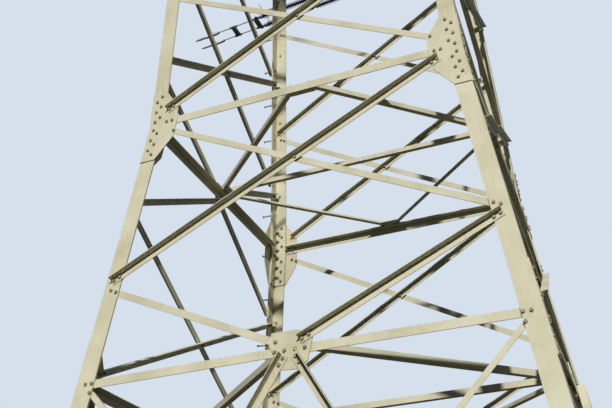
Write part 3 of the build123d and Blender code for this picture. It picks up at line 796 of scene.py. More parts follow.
@dataclass
class JointBolts:
    """Works out the bolts at the ends and the crossings of the rolled angles.

    Attributes:
        steel: The steel that the joints are felt through.
        edge: Distance of the first bolt from a bar's end.
        pitch: Distance between bolts.
        strut_pitch: Distance between bolts where a level strut meets a middle gusset.
        gauge_share: Distance of the bolts from the heel, in flange widths.
        clear: Least distance between two bolts.
        facing: Least cosine between two faces that look at each other.
        least_turn: Least sine of the turn between two bars that cross.
        crossing_margin: Least distance of a crossing from a bar's end, in flange widths.
        least_gap: Least gap at a crossing that gets washers.
        crossing_gap: Widest gap at a crossing that gets washers.
    """

    steel: Steelwork
    edge: float = 28 * MM
    pitch: float = 50 * MM
    strut_pitch: float = 97 * MM
    gauge_share: float = 0.52
    clear: float = 30 * MM
    facing: float = 0.985
    least_turn: float = 0.2
    crossing_margin: float = 2.5
    least_gap: float = 1 * MM
    crossing_gap: float = 34 * MM

    def at_ends(self, bars: Iterable[AngleBar], per_end: int) -> list[BoltPoint]:
        """Bolts at both ends of each bar, wherever a flange lies on something.

        Args:
            bars: The bars to bolt down.
            per_end: The most bolts that one end gets.

        Returns:
            The bolts found.
        """
        bolts: list[BoltPoint] = []
        for bar in bars:
            for which in (0, 1):
                for end in (0, 1):
                    pitch = self.strut_pitch if self.is_mid_strut(bar, end) else self.pitch
                    for index in range(per_end):
                        along = self.edge + index * pitch
                        if end:
                            along = bar.length - along
                        bolt = self.feel(bar, which, along)
                        if bolt and self.is_free(bolt, bolts):
                            bolts.append(bolt)
        return bolts

    @staticmethod
    def is_mid_strut(bar: AngleBar, end: int, level: float = 0.02, middle: float = 0.3) -> bool:
        """True where a level strut ends at the middle of a face.

        Args:
            bar: The bar.
            end: Which of its ends.
            level: The most that a level bar rises for each metre.
            middle: Half width of the middle of a face.

        Returns:
            Whether it does.
        """
        place = bar.ends[end]
        return abs(bar.axis.z) < level and min(abs(place.x), abs(place.y)) < middle

    def feel(self, bar: AngleBar, which: int, along: float) -> Optional[BoltPoint]:
        """Looks for something behind a flange at one place.

        Args:
            bar: The bar.
            which: Its flange.
            along: Distance from its first end.

        Returns:
            The bolt, or nothing where the flange lies free.
        """
        start = bar.on_flange(which, along, bar.width * self.gauge_share)
        normal = bar.outward(which)
        depth_out, plates_out = self.steel.stack(start, normal)
        if not plates_out:
            return None
        depth_in, _ = self.steel.stack(start, -normal)
        head = start + normal * depth_out
        tail = start - normal * depth_in
        if self.looks_outward(normal, head):
            return BoltPoint(head, normal, depth_out + depth_in)
        return BoltPoint(tail, -normal, depth_out + depth_in)

    @staticmethod
    def looks_outward(normal: Vector, place: Vector, upright: float = 0.8) -> bool:
        """Tells whether a direction leads away from the tower, or down on level steel.

        Args:
            normal: The direction.
            place: Where it starts.
            upright: Rise of the direction past which the steel counts as level.

        Returns:
            Whether it does.
        """
        if abs(normal.z) > upright:
            return normal.z < 0
        return normal.dot(Vector((place.x, place.y, 0.0))) > 0

    def is_free(self, bolt: BoltPoint, others: Iterable[BoltPoint]) -> bool:
        """True where no other bolt is too close for a spanner."""
        return all((bolt.place - other.place).length > self.clear for other in others)

    def at_crossings(self, bars: Sequence[AngleBar]) -> tuple[list[BoltPoint], list[PackerPoint]]:
        """One bolt through packing washers where an outside bar crosses an inside one.

        Args:
            bars: The bars of one face.

        Returns:
            The bolts and the piles of washers.
        """
        bolts: list[BoltPoint] = []
        packers: list[PackerPoint] = []
        for index, one in enumerate(bars):
            for two in bars[index + 1:]:
                found = self.crossing(one, two)
                if found:
                    bolts.append(found[0])
                    packers.append(found[1])
        return bolts, packers

    def crossing(self, one: AngleBar, two: AngleBar) -> Optional[tuple[BoltPoint, PackerPoint]]:
        """The bolt and the washers of one crossing.

        Args:
            one: A bar.
            two: Another bar of the same face.

        Returns:
            The bolt and its washers, or nothing where the bars don't cross.
        """
        for a in (0, 1):
            normal = one.outward(a)
            for b in (0, 1):
                if normal.dot(two.outward(b)) > -self.facing:
                    continue
                on_one = one.on_flange(a, 0.0, one.width / 2) + normal * (one.thick / 2)
                on_two = two.on_flange(b, 0.0, two.width / 2) - normal * (two.thick / 2)
                across = one.axis.cross(two.axis)
                if across.length < self.least_turn:
                    continue
                between = on_two - on_one
                along_one = between.cross(two.axis).dot(across) / across.length_squared
                along_two = between.cross(one.axis).dot(across) / across.length_squared
                margin = self.crossing_margin * one.width
                if not margin < along_one < one.length - margin:
                    continue
                if not margin < along_two < two.length - margin:
                    continue
                start = on_one + one.axis * along_one
                end = on_two + two.axis * along_two
                gap = (end - start).dot(normal)
                if not self.least_gap < gap < self.crossing_gap:
                    continue
                grip = gap + one.thick + two.thick
                if self.looks_outward(normal, start):
                    bolt = BoltPoint(end + normal * two.thick, normal, grip)
                else:
                    bolt = BoltPoint(start - normal * one.thick, -normal, grip)
                return bolt, PackerPoint(start, normal, gap)
        return None


@dataclass
class GrowthTree:
    """A Geometry Nodes tree that grows a small part on each point of a cloud.

    Attributes:
        name: The tree's name.
        sizes: Named inputs and their values, in metres.
        seed: Seed of the random turn about each part's axis.
    """

    name: str
    sizes: dict[str, float]
    seed: int = 7
    tree: bpy.types.NodeTree = field(init=False)
    start: bpy.types.Node = field(init=False)

    def __post_init__(self) -> None:
        """Makes the empty tree with its inputs."""
        self.tree = bpy.data.node_groups.new(self.name, "GeometryNodeTree")
        face = self.tree.interface
        face.new_socket("Geometry", in_out="INPUT", socket_type="NodeSocketGeometry")
        for size in self.sizes:
            face.new_socket(size, in_out="INPUT", socket_type="NodeSocketFloat")
        face.new_socket("Seed", in_out="INPUT", socket_type="NodeSocketInt")
        face.new_socket("Material", in_out="INPUT", socket_type="NodeSocketMaterial")
        face.new_socket("Geometry", in_out="OUTPUT", socket_type="NodeSocketGeometry")
        self.start = self.add("NodeGroupInput")

    def add(self, kind: str, inputs: Optional[dict] = None, **settings: object) -> bpy.types.Node:
        """Adds a node to this tree, as add_node does."""
        return add_node(self.tree, kind, inputs, **settings)

    def size(self, name: str) -> bpy.types.NodeSocket:
        """The socket of a named input."""
        return self.start.outputs[name]

    def raised(self, mesh: bpy.types.Node, level: object) -> bpy.types.Node:
        """Lifts a mesh along the Z axis.

        Args:
            mesh: The mesh.
            level: How far.

        Returns:
            The lifted mesh.
        """
        offset = self.add("ShaderNodeCombineXYZ", {"Z": level})
        return self.add("GeometryNodeTransform", {"Geometry": mesh, "Translation": offset})

    def disc(self, radius: object, height: object, base: object, sides: int,
             fill: str = "NGON") -> bpy.types.Node:
        """A prism or disc on the Z axis.

        Args:
            radius: Its radius.
            height: Its height.
            base: Height of its underside.
            sides: Its sides.
            fill: How its ends are closed.

        Returns:
            The mesh.
        """
        made = self.add("GeometryNodeMeshCylinder",
                        {"Vertices": sides, "Radius": radius, "Depth": height}, fill_type=fill)
        half = self.add("ShaderNodeMath", {0: height, 1: 0.5}, operation="MULTIPLY")
        return self.raised(made, self.add("ShaderNodeMath", {0: base, 1: half}, operation="ADD"))

    def cone(self, low: object, high: object, height: object, base: object,
             sides: int) -> bpy.types.Node:
        """A cut cone on the Z axis, open at both ends.

        Args:
            low: Its lower radius.
            high: Its upper radius.
            height: Its height.
            base: Height of its lower edge.
            sides: Its sides.

        Returns:
            The mesh.
        """
        made = self.add("GeometryNodeMeshCone",
                        {"Vertices": sides, "Radius Bottom": low, "Radius Top": high,
                         "Depth": height}, fill_type="NONE")
        return self.raised(made, base)

    def scaled_axis(self, share: object) -> bpy.types.Node:
        """Each point's axis, made longer or turned round.

        Args:
            share: What it is multiplied by.

        Returns:
            The vector.
        """
        axis = self.add("GeometryNodeInputNamedAttribute", {"Name": "axis"},
                        data_type="FLOAT_VECTOR")
        return self.add("ShaderNodeVectorMath", {0: axis, "Scale": share}, operation="SCALE")

    def grown(self, points: object, part: bpy.types.Node, facing: float = 1.0,
              scale: Optional[bpy.types.Node] = None) -> bpy.types.Node:
        """Puts a part on every point, its Z along the point's axis, turned at random.

        Args:
            points: The points.
            part: The part, built on the Z axis.
            facing: 1 to look along the axis, -1 to look against it.
            scale: A scale vector for each point.

        Returns:
            The instances.
        """
        turn = self.add("FunctionNodeAlignRotationToVector",
                        {"Vector": self.scaled_axis(facing)}, axis="Z")
        inputs = {"Points": points, "Instance": part, "Rotation": turn}
        if scale is not None:
            inputs["Scale"] = scale
        made = self.add("GeometryNodeInstanceOnPoints", inputs)
        chance = self.add("FunctionNodeRandomValue",
                          {RANDOM_LOW: 0.0, RANDOM_HIGH: math.tau, "Seed": self.size("Seed")},
                          data_type="FLOAT")
        spin = self.add("ShaderNodeCombineXYZ", {"Z": chance})
        return self.add("GeometryNodeRotateInstances", {"Instances": made, "Rotation": spin})

    def far_side(self) -> bpy.types.Node:
        """The points moved back through the steel by their grip.

        Returns:
            The points.
        """
        grip = self.add("GeometryNodeInputNamedAttribute", {"Name": "grip"}, data_type="FLOAT")
        back = self.add("ShaderNodeMath", {0: grip, 1: -1.0}, operation="MULTIPLY")
        return self.add("GeometryNodeSetPosition",
                        {"Geometry": self.size("Geometry"), "Offset": self.scaled_axis(back)})

    def finish(self, *parts: bpy.types.Node) -> None:
        """Ends the tree in real geometry with its material.

        Args:
            *parts: The instances that it grows.
        """
        grown = self.add("GeometryNodeJoinGeometry", {"Geometry": list(parts)})
        real = self.add("GeometryNodeRealizeInstances", {"Geometry": grown})
        painted = self.add("GeometryNodeSetMaterial",
                           {"Geometry": real, "Material": self.size("Material")})
        self.add("NodeGroupOutput", {"Geometry": painted})

    def grow(self, name: str, places: Sequence[Vector], attributes: dict[str, Sequence],
             material: bpy.types.Material) -> bpy.types.Object:
        """Runs the tree on a cloud of points and keeps the plain mesh.

        Args:
            name: The new piece's name.
            places: The points.
            attributes: Values of each named attribute, one for each point.
            material: The finish.

        Returns:
            The finished object, at the origin.
        """
        cloud = bpy.data.meshes.new(name)
        cloud.from_pydata([tuple(p) for p in places], [], [])
        for key, values in attributes.items():
            vector = isinstance(values[0], Vector)
            kind = "FLOAT_VECTOR" if vector else "FLOAT"
            layer = cloud.attributes.new(key, kind, "POINT")
            flat = np.array([tuple(v) if vector else v for v in values], dtype=np.float32)
            layer.data.foreach_set("vector" if vector else "value", flat.ravel())
        piece = bpy.data.objects.new(name, cloud)
        bpy.context.scene.collection.objects.link(piece)
        modifier = piece.modifiers.new("grow", "NODES")
        modifier.node_group = self.tree
        values = {**self.sizes, "Seed": self.seed, "Material": material}
        for item in self.tree.interface.items_tree:
            if item.in_out == "INPUT" and item.name in values:
                modifier[item.identifier] = values[item.name]
        piece.update_tag()
        graph = bpy.context.evaluated_depsgraph_get()
        grown = bpy.data.meshes.new_from_object(piece.evaluated_get(graph))
        piece.modifiers.remove(modifier)
        for key in attributes:
            layer = grown.attributes.get(key)
            if layer:
                grown.attributes.remove(layer)
        piece.data = grown
        grown.name = name
        bpy.data.meshes.remove(cloud)
        return piece

    def bolt(self, name: str, bolts: Sequence[BoltPoint],
             material: bpy.types.Material) -> bpy.types.Object:
        """Grows one bolt on each bolt point.

        Args:
            name: The new piece's name.
            bolts: The bolt points.
            material: The finish.

        Returns:
            The finished object, at the origin.
        """
        return self.grow(name, [b.place for b in bolts],
                         {"axis": [b.axis for b in bolts], "grip": [b.grip for b in bolts]},
                         material)


def hex_bolt_tree(name: str, diameter: float) -> GrowthTree:
    """Tree for a hexagon bolt: head, two washers, nut and the end of the shank.

    Args:
        name: The tree's name.
        diameter: The bolt's nominal diameter.

    Returns:
        The tree.
    """
    sizes = {"Head Radius": 0.87 * diameter, "Head Height": 0.63 * diameter,
             "Washer Radius": 0.92 * diameter, "Washer Height": 3.5 * MM,
             "Nut Height": 0.8 * diameter, "Shank Radius": 0.5 * diameter,
             "Shank Length": 1.25 * diameter}
    made = GrowthTree(name, sizes)
    size = made.size
    seat = size("Washer Height")
    washer = made.disc(size("Washer Radius"), seat, 0.0, sides=10)
    head = made.disc(size("Head Radius"), size("Head Height"), seat, sides=6)
    nut = made.disc(size("Head Radius"), size("Nut Height"), seat, sides=6)
    shank = made.disc(size("Shank Radius"), size("Shank Length"), seat, sides=8)
    outside = made.add("GeometryNodeJoinGeometry", {"Geometry": [washer, head]})
    inside = made.add("GeometryNodeJoinGeometry", {"Geometry": [washer, nut, shank]})
    made.finish(made.grown(size("Geometry"), outside),
                made.grown(made.far_side(), inside, facing=-1.0))
    return made


def packer_tree() -> GrowthTree:
    """Tree for a pile of round packing washers, as high as its gap.

    Returns:
        The tree.
    """
    made = GrowthTree("Packing_washers", {"Packer Radius": 27 * MM})
    pile = made.disc(made.size("Packer Radius"), 1.0, 0.0, sides=14)
    height = made.add("GeometryNodeInputNamedAttribute", {"Name": "height"}, data_type="FLOAT")
    scale = made.add("ShaderNodeCombineXYZ", {"X": 1.0, "Y": 1.0, "Z": height})
    made.finish(made.grown(made.size("Geometry"), pile, scale=scale))
    return made


def step_bolt_tree() -> GrowthTree:
    """Tree for a step bolt: round bar with a big head, and a nut on each side of the leg.

    Returns:
        The tree.
    """
    sizes = {"Bar Radius": 10 * MM, "Bar Length": 165 * MM, "End Radius": 19 * MM,
             "End Height": 10 * MM, "Nut Radius": 18 * MM, "Nut Height": 16 * MM}
    made = GrowthTree("Step_bolts", sizes)
    size = made.size
    bar = made.disc(size("Bar Radius"), size("Bar Length"), 0.0, sides=12)
    head = made.disc(size("End Radius"), size("End Height"), size("Bar Length"), sides=12)
    nut = made.disc(size("Nut Radius"), size("Nut Height"), 0.0, sides=6)
    step = made.add("GeometryNodeJoinGeometry", {"Geometry": [bar, head, nut]})
    made.finish(made.grown(size("Geometry"), step),
                made.grown(made.far_side(), nut, facing=-1.0))
    return made


def shed_tree() -> GrowthTree:
    """Tree for the sheds of a long-rod insulator: thin sloping discs with a square rim.

    Returns:
        The tree.
    """
    sizes = {"Shed Radius": 80 * MM, "Core Radius": 30 * MM, "Rim Height": 4 * MM,
             "Shed Rise": 13 * MM}
    made = GrowthTree("Insulator_sheds", sizes)
    rim_height, core, edge = (made.size(n) for n in ("Rim Height", "Core Radius", "Shed Radius"))
    below = made.add("ShaderNodeMath", {0: rim_height, 1: -1.0}, operation="MULTIPLY")
    under = made.cone(core, edge, rim_height, below, sides=18)
    rim = made.disc(edge, rim_height, 0.0, sides=18, fill="NONE")
    slope = made.cone(edge, core, made.size("Shed Rise"), rim_height, sides=18)
    shed = made.add("GeometryNodeJoinGeometry", {"Geometry": [under, rim, slope]})
    welded = made.add("GeometryNodeMergeByDistance", {"Geometry": shed, "Distance": 0.1 * MM})
    made.finish(made.grown(made.size("Geometry"), welded))
    return made


class Draft:
    """Gathers the vertices and faces of plain closed shapes for one piece."""

    def __init__(self) -> None:
        """Starts with nothing."""
        self.points: list[Vector] = []
        self.faces: list[tuple[int, ...]] = []

    def skin(self, rings: Sequence[Sequence[Vector]]) -> None:
        """Skins a row of rings and closes both ends.

        Args:
            rings: Rings of corners, each with as many as the others.
        """
        base = len(self.points)
        count = len(rings[0])
        for ring in rings:
            self.points += list(ring)
        for row in range(len(rings) - 1):
            start = base + row * count
            for i in range(count):
                j = (i + 1) % count
                self.faces.append((start + i, start + j, start + count + j,
                                   start + count + i))
        last = base + (len(rings) - 1) * count
        self.faces.append(tuple(base + i for i in reversed(range(count))))
        self.faces.append(tuple(last + i for i in range(count)))

    def rod(self, path: Sequence[Vector], radii: Sequence[float], sides: int = 10) -> None:
        """A round rod along a line that may bend.

        Args:
            path: Points of its middle line.
            radii: Its radius at each point.
            sides: Sides of its section.
        """
        rings = []
        side = (path[1] - path[0]).orthogonal()
        for index, (point, radius) in enumerate(zip(path, radii)):
            after = path[min(index + 1, len(path) - 1)]
            axis = (after - path[max(index - 1, 0)]).normalized()
            side = (side - axis * side.dot(axis)).normalized()
            rise = axis.cross(side)
            turns = [math.tau * i / sides for i in range(sides)]
            rings.append([point + (side * math.cos(t) + rise * math.sin(t)) * radius
                          for t in turns])
        self.skin(rings)

    def plate(self, outline: Sequence[Vector], thick: float) -> None:
        """A flat plate, half its thickness to each side of its outline.

        Args:
            outline: Corners of its middle plane, in order.
            thick: Its thickness.
        """
        normal = (outline[1] - outline[0]).cross(outline[2] - outline[1]).normalized()
        half = normal * (thick / 2)
        self.skin([[p - half for p in outline], [p + half for p in outline]])

    def build(self, name: str, material: bpy.types.Material) -> bpy.types.Object:
        """Makes the piece, with its faces outwards.

        Args:
            name: The piece's name.
            material: Its finish.

        Returns:
            The object, at the origin.
        """
        mesh = bpy.data.meshes.new(name)
        mesh.from_pydata([tuple(p) for p in self.points], [], self.faces)
        shape = bmesh.new()
        shape.from_mesh(mesh)
        bmesh.ops.recalc_face_normals(shape, faces=shape.faces)
        shape.to_mesh(mesh)
        shape.free()
        mesh.materials.append(material)
        piece = bpy.data.objects.new(name, mesh)
        bpy.context.scene.collection.objects.link(piece)
        return piece


@dataclass(frozen=True)
class SetFrame:
    """Axes of one insulator set, which starts at the tower ends of its two rods.

    Attributes:
        start: Middle between the two rods at their tower ends.
        along: Unit vector out along the set.
        across: Level unit vector from one rod to the other.
        length: Length of the rods.
    """

    start: Vector
    along: Vector
    across: Vector
    length: float

    @classmethod
    def between(cls, one: tuple[np.ndarray, np.ndarray],
                two: tuple[np.ndarray, np.ndarray]) -> "SetFrame":
        """Reads the axes from the end rings of the two rods.

        Args:
            one: Rings of the first rod.
            two: Rings of the second rod.

        Returns:
            The set's axes.
        """
        ends = []
        for rod in (one, two):
            centres = [Vector(ring.mean(axis=0)) for ring in rod]
            ends.append(sorted(centres, key=lambda c: abs(c.x)))
        near = (ends[0][0] + ends[1][0]) / 2
        far = (ends[0][1] + ends[1][1]) / 2
        return cls(near, (far - near).normalized(), (ends[1][0] - ends[0][0]).normalized(),
                   (far - near).length)

    @property
    def rise(self) -> Vector:
        """Unit vector square to the set, upwards."""
        up = self.along.cross(self.across)
        return up if up.z > 0 else -up

    def at(self, along: float, across: float = 0.0, rise: float = 0.0) -> Vector:
        """A point by its distances from the set's start."""
        return self.start + self.along * along + self.across * across + self.rise * rise


@dataclass
class InsulatorSets:
    """The two tension sets of a phase: rods between yoke plates, ties, links and clamps.

    Lengths along a set are counted from the tower ends of its rods, outwards. A profile is a
    row of distances along a part, each with the radius there.
    """

    node: str
    reader: SolidReader
    porcelain: bpy.types.Material
    zinc: bpy.types.Material
    aluminium: bpy.types.Material
    sheds: GrowthTree
    pins: GrowthTree
    rod_sides: int = 8
    rod_spacing: float = 330 * MM
    clamp_spacing: float = 320 * MM
    seat: float = 0.3 * MM
    # The lug under the arm, seen from the side, and the bow and the rod that hang from it.
    lug_outline: tuple[tuple[float, float], ...] = (
        (-45 * MM, 70 * MM), (45 * MM, 70 * MM), (45 * MM, -15 * MM),
        (22 * MM, -45 * MM), (-22 * MM, -45 * MM), (-45 * MM, -15 * MM))
    lug_thick: float = 18 * MM
    lug_offset: float = 47 * MM
    lug_grip: float = 66 * MM
    bow_half: float = 24 * MM
    bow_reach: float = 62 * MM
    bow_radius: float = 8.5 * MM
    bow_turns: int = 6
    hanger: float = 380 * MM
    hanger_eye: float = 10 * MM
    hanger_tail: float = 12 * MM
    hanger_radius: float = 13 * MM
    hanger_fork: float = 20 * MM
    hanger_fork_radius: float = 22 * MM
    hanger_lap: float = 40 * MM
    # Clevises: two straps with cut corners and a pin.
    strap_thick: float = 8 * MM
    strap_half: float = 24 * MM
    strap_cut: float = 12 * MM
    pin_inset: float = 24 * MM
    # Rods: two units each, capped at both ends, with a stud between them.
    rod_inset: float = 30 * MM
    rod_lap: float = 36 * MM
    rod_reach: float = 62 * MM
    unit_gap: float = 14 * MM
    stud_radius: float = 24 * MM
    stud_lap: float = 4 * MM
    core_radius: float = 31 * MM
    core_inset: float = 60 * MM
    cap_profile: tuple[tuple[float, float], ...] = (
        (0.0, 26 * MM), (14 * MM, 41 * MM), (24 * MM, 47 * MM), (97 * MM, 47 * MM),
        (105 * MM, 42 * MM))
    shed_pitch: float = 42 * MM
    # Yoke plates with their corners cut.
    yoke_width: float = 130 * MM
    yoke_thick: float = 16 * MM
    yoke_cut: float = 28 * MM
    yoke_flare: float = 90 * MM
    head_yoke_half: float = 60 * MM
    rod_yoke_spread: float = 78 * MM
    clamp_yoke_spread: float = 34 * MM
    # Ties and links, thin rods that end in threaded sockets.
    tie: float = 485 * MM
    link: float = 330 * MM
    socket_profile: tuple[tuple[float, float], ...] = (
        (-12 * MM, 20 * MM), (22 * MM, 17 * MM), (24 * MM, 12.5 * MM))
    socket_neck: float = 34 * MM
    socket_reach: float = 50 * MM
    link_lap: float = 10 * MM
    # Wedge clamps, seen from the side in shares of their length, and the sleeves behind them.
    clamp: float = 1000 * MM
    clamp_thick: float = 62 * MM
    clamp_outline: tuple[tuple[float, float], ...] = (
        (0.0, 12 * MM), (0.06, 26 * MM), (0.42, 34 * MM), (0.56, 22 * MM), (0.60, 15 * MM),
        (0.60, -15 * MM), (0.54, -26 * MM), (0.30, -36 * MM), (0.06, -24 * MM),
        (0.0, -12 * MM))
    keeper_shares: tuple[float, ...] = (0.12, 0.24, 0.36)
    keeper_rise: float = 30 * MM
    keeper_grip: float = 58 * MM
    sleeve_share: float = 0.50
    sleeve_shoulder: float = 50 * MM
    sleeve_taper: float = 90 * MM
    sleeve_radii: tuple[float, ...] = (24 * MM, 34 * MM, 31 * MM, 16 * MM)
    # Arcing horns: way out, aside and up from the rod's axis, and thickness in horn radii.
    horn_inset: float = 100 * MM
    horn_radius: float = 11 * MM
    horn_path: tuple[tuple[float, float, float, float], ...] = (
        (0.0, 0.0, 43 * MM, 1.0), (-40 * MM, 10 * MM, 90 * MM, 1.0),
        (-68 * MM, 28 * MM, 170 * MM, 1.0), (-52 * MM, 36 * MM, 220 * MM, 1.2),
        (-46 * MM, 39 * MM, 240 * MM, 1.8), (0.0, 50 * MM, 375 * MM, 1.8))
    metal: Draft = field(default_factory=Draft)
    core: Draft = field(default_factory=Draft)
    clamps: Draft = field(default_factory=Draft)
    shed_points: list[tuple[Vector, Vector]] = field(default_factory=list)
    bolts: list[BoltPoint] = field(default_factory=list)

    def dress(self) -> None:
        """Builds both sets and puts them in place of the plain node."""
        rods = self.reader.prisms(self.rod_sides)
        for sign in (-1, 1):
            pair = [r for r in rods if r[0][:, 0].mean() * sign > 0]
            axes = SetFrame.between(pair[0], pair[1])
            self.hang(axes, sign)
            for side in (-1, 1):
                self.rod(axes, side * self.rod_spacing / 2)
                self.outer_end(axes, side * self.clamp_spacing / 2)
            self.yokes(axes)
            self.horns(axes)
        fittings = self.metal.build(f"fittings_{self.node}", self.zinc)
        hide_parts(self.node)
        ride_as(fittings)
        ride_as(self.core.build(f"cores_{self.node}", self.porcelain))
        ride_as(self.clamps.build(f"clamps_{self.node}", self.aluminium))
        ride_as(self.sheds.grow(f"sheds_{self.node}", [p for p, _ in self.shed_points],
                                {"axis": [a for _, a in self.shed_points]}, self.porcelain))
        ride_as(self.pins.bolt(f"pins_{self.node}", self.bolts, self.zinc))

    def hang(self, axes: SetFrame, sign: int) -> None:
        """Lug under the arm, bow shackle, and the rod whose clevis holds the first yoke.

        Args:
            axes: The set's axes.
            sign: Which way along X the set leads.
        """
        yoke_start = -self.yoke_width - self.seat
        hanger_start = yoke_start - self.seat - self.hanger
        pin = axes.at(hanger_start) - Vector((sign * self.lug_offset, 0.0, 0.0))
        self.metal.plate([pin + Vector((x, 0.0, z)) for x, z in self.lug_outline],
                         self.lug_thick)
        self.bolts.append(BoltPoint(pin + axes.across * (self.lug_grip / 2), axes.across,
                                    self.lug_grip))
        bow = [pin - axes.across * self.bow_half]
        centre = pin + axes.along * self.bow_reach
        for step in range(self.bow_turns + 1):
            turn = math.pi * step / self.bow_turns
            bow.append(centre - axes.across * (self.bow_half * math.cos(turn))
                       + axes.along * (self.bow_half * math.sin(turn)))
        bow.append(pin + axes.across * self.bow_half)
        self.metal.rod(bow, [self.bow_radius] * len(bow))
        eye = centre + axes.along * (self.bow_half - self.hanger_eye)
        fork = yoke_start - self.hanger_lap
        self.metal.rod([eye - axes.along * self.hanger_tail, eye,
                        axes.at(fork - self.hanger_fork), axes.at(fork)],
                       [self.hanger_eye, self.hanger_radius, self.hanger_radius,
                        self.hanger_fork_radius])
        self.clevis(axes, fork, yoke_start + self.hanger_lap, 0.0)

    def clevis(self, axes: SetFrame, begin: float, end: float, across: float,
               pin_at_end: bool = True) -> None:
        """Two straps, one on each side of a yoke plate, with a pin through all three.

        Args:
            axes: The set's axes.
            begin: Where the straps begin.
            end: Where they end.
            across: Their distance to the side.
            pin_at_end: Whether the pin is near their end, or near their beginning.
        """
        half, cut = self.strap_half, self.strap_cut
        outline = ((begin, -cut), (begin + cut, -half), (end - cut, -half), (end, -cut),
                   (end, cut), (end - cut, half), (begin + cut, half), (begin, cut))
        for rise in (-1, 1):
            level = rise * (self.yoke_thick + self.strap_thick + 2 * self.seat) / 2
            self.metal.plate([axes.at(d, across + c, level) for d, c in outline],
                             self.strap_thick)
        place = end - self.pin_inset if pin_at_end else begin + self.pin_inset
        grip = self.yoke_thick + 2 * self.strap_thick + 2 * self.seat
        self.bolts.append(BoltPoint(axes.at(place, across, grip / 2), axes.rise, grip))

    def rod(self, axes: SetFrame, across: float) -> None:
        """One long-rod insulator of two units, capped in zinc, with its sheds.

        Args:
            axes: The set's axes.
            across: Its distance to the side.
        """
        middle = axes.length / 2
        for low, high in ((self.rod_inset, middle - self.unit_gap),
                          (middle + self.unit_gap, axes.length - self.rod_inset)):
            self.unit(axes, low, high, across)
        stud = self.unit_gap + self.stud_lap
        self.metal.rod([axes.at(middle - stud, across), axes.at(middle + stud, across)],
                       [self.stud_radius] * 2)
        self.clevis(axes, -self.rod_reach, self.rod_lap, across, pin_at_end=False)
        self.clevis(axes, axes.length - self.rod_lap, axes.length + self.rod_reach, across)

    def unit(self, axes: SetFrame, low: float, high: float, across: float) -> None:
        """One unit of a rod: core, a cap on each end, and the places of its sheds.

        Args:
            axes: The set's axes.
            low: Where it begins.
            high: Where it ends.
            across: Its distance to the side.
        """
        self.core.rod([axes.at(low + self.core_inset, across),
                       axes.at(high - self.core_inset, across)],
                      [self.core_radius] * 2, sides=16)
        for end, turn in ((low, 1), (high, -1)):
            self.metal.rod([axes.at(end + turn * d, across) for d, _ in self.cap_profile],
                           [r for _, r in self.cap_profile], sides=16)
        cap_length = self.cap_profile[-1][0]
        room = high - low - 2 * cap_length - self.shed_pitch
        count = int(room / self.shed_pitch)
        for index in range(count + 1):
            along = low + cap_length + self.shed_pitch / 2 + index * room / count
            self.shed_points.append((axes.at(along, across), -axes.along))

    def yokes(self, axes: SetFrame) -> None:
        """The yoke at the tower's end and the two past the rods.

        Args:
            axes: The set's axes.
        """
        rod_half = self.rod_spacing / 2 + self.rod_yoke_spread
        clamp_half = self.clamp_spacing / 2 + self.clamp_yoke_spread
        first = -self.yoke_width - self.seat
        second = axes.length + self.seat
        third = second + self.yoke_width + self.tie + 2 * self.seat
        for begin, near, far in ((first, self.head_yoke_half, rod_half),
                                 (second, rod_half, clamp_half), (third, clamp_half, clamp_half)):
            self.yoke(axes, begin, near, far)

    def yoke(self, axes: SetFrame, begin: float, near: float, far: float) -> None:
        """A yoke plate with its corners cut.

        Args:
            axes: The set's axes.
            begin: Where it begins along the set.
            near: Half its width there.
            far: Half its width at its far edge.
        """
        end, cut = begin + self.yoke_width, self.yoke_cut
        half = [(begin, near - cut), (begin + cut, max(near, far - self.yoke_flare)),
                (end - cut, far), (end, far - cut)]
        outline = [axes.at(d, -c) for d, c in half] + [axes.at(d, c) for d, c in reversed(half)]
        self.metal.plate(outline, self.yoke_thick)

    def outer_end(self, axes: SetFrame, across: float) -> None:
        """Tie, link and wedge clamp on one side of a set.

        Args:
            axes: The set's axes.
            across: Its distance to the side.
        """
        tie_start = axes.length + self.yoke_width + 2 * self.seat
        tie_end = tie_start + self.tie
        link_start = tie_end + self.yoke_width + 2 * self.seat
        self.thin_rod(axes, tie_start, tie_end, across, both_ends=True)
        self.thin_rod(axes, link_start, link_start + self.link, across, both_ends=False)
        self.wedge(axes, link_start + self.link, link_start + self.clamp, across)

    def thin_rod(self, axes: SetFrame, begin: float, end: float, across: float,
                 both_ends: bool) -> None:
        """A thin rod between clevises, with the sockets of its thread.

        Args:
            axes: The set's axes.
            begin: Where it begins.
            end: Where it ends.
            across: Its distance to the side.
            both_ends: Whether it has a clevis at its end as well.
        """
        neck = self.socket_neck
        steps = [(begin + neck + d, r) for d, r in self.socket_profile]
        last = [(end - neck - d, r) for d, r in reversed(self.socket_profile)]
        steps += last if both_ends else [last[0], (end + self.link_lap, last[0][1])]
        self.metal.rod([axes.at(d, across) for d, _ in steps], [r for _, r in steps])
        self.clevis(axes, begin - self.socket_reach, begin + neck, across, pin_at_end=False)
        if both_ends:
            self.clevis(axes, end - neck, end + self.socket_reach, across)

    def wedge(self, axes: SetFrame, begin: float, end: float, across: float) -> None:
        """Wedge-shaped tension clamp with its keeper bolts and the sleeve behind it.

        Args:
            axes: The set's axes.
            begin: Where it begins.
            end: Where the sleeve ends.
            across: Its distance to the side.
        """
        length = end - begin
        self.clamps.plate([axes.at(begin + share * length, across, rise)
                           for share, rise in self.clamp_outline], self.clamp_thick)
        sleeve = begin + self.sleeve_share * length
        self.clamps.rod([axes.at(d, across) for d in (sleeve, sleeve + self.sleeve_shoulder,
                                                      end - self.sleeve_taper, end)],
                        self.sleeve_radii, sides=14)
        for share in self.keeper_shares:
            self.bolts.append(BoltPoint(axes.at(begin + share * length, across,
                                                self.keeper_rise),
                                        axes.rise, self.keeper_grip))

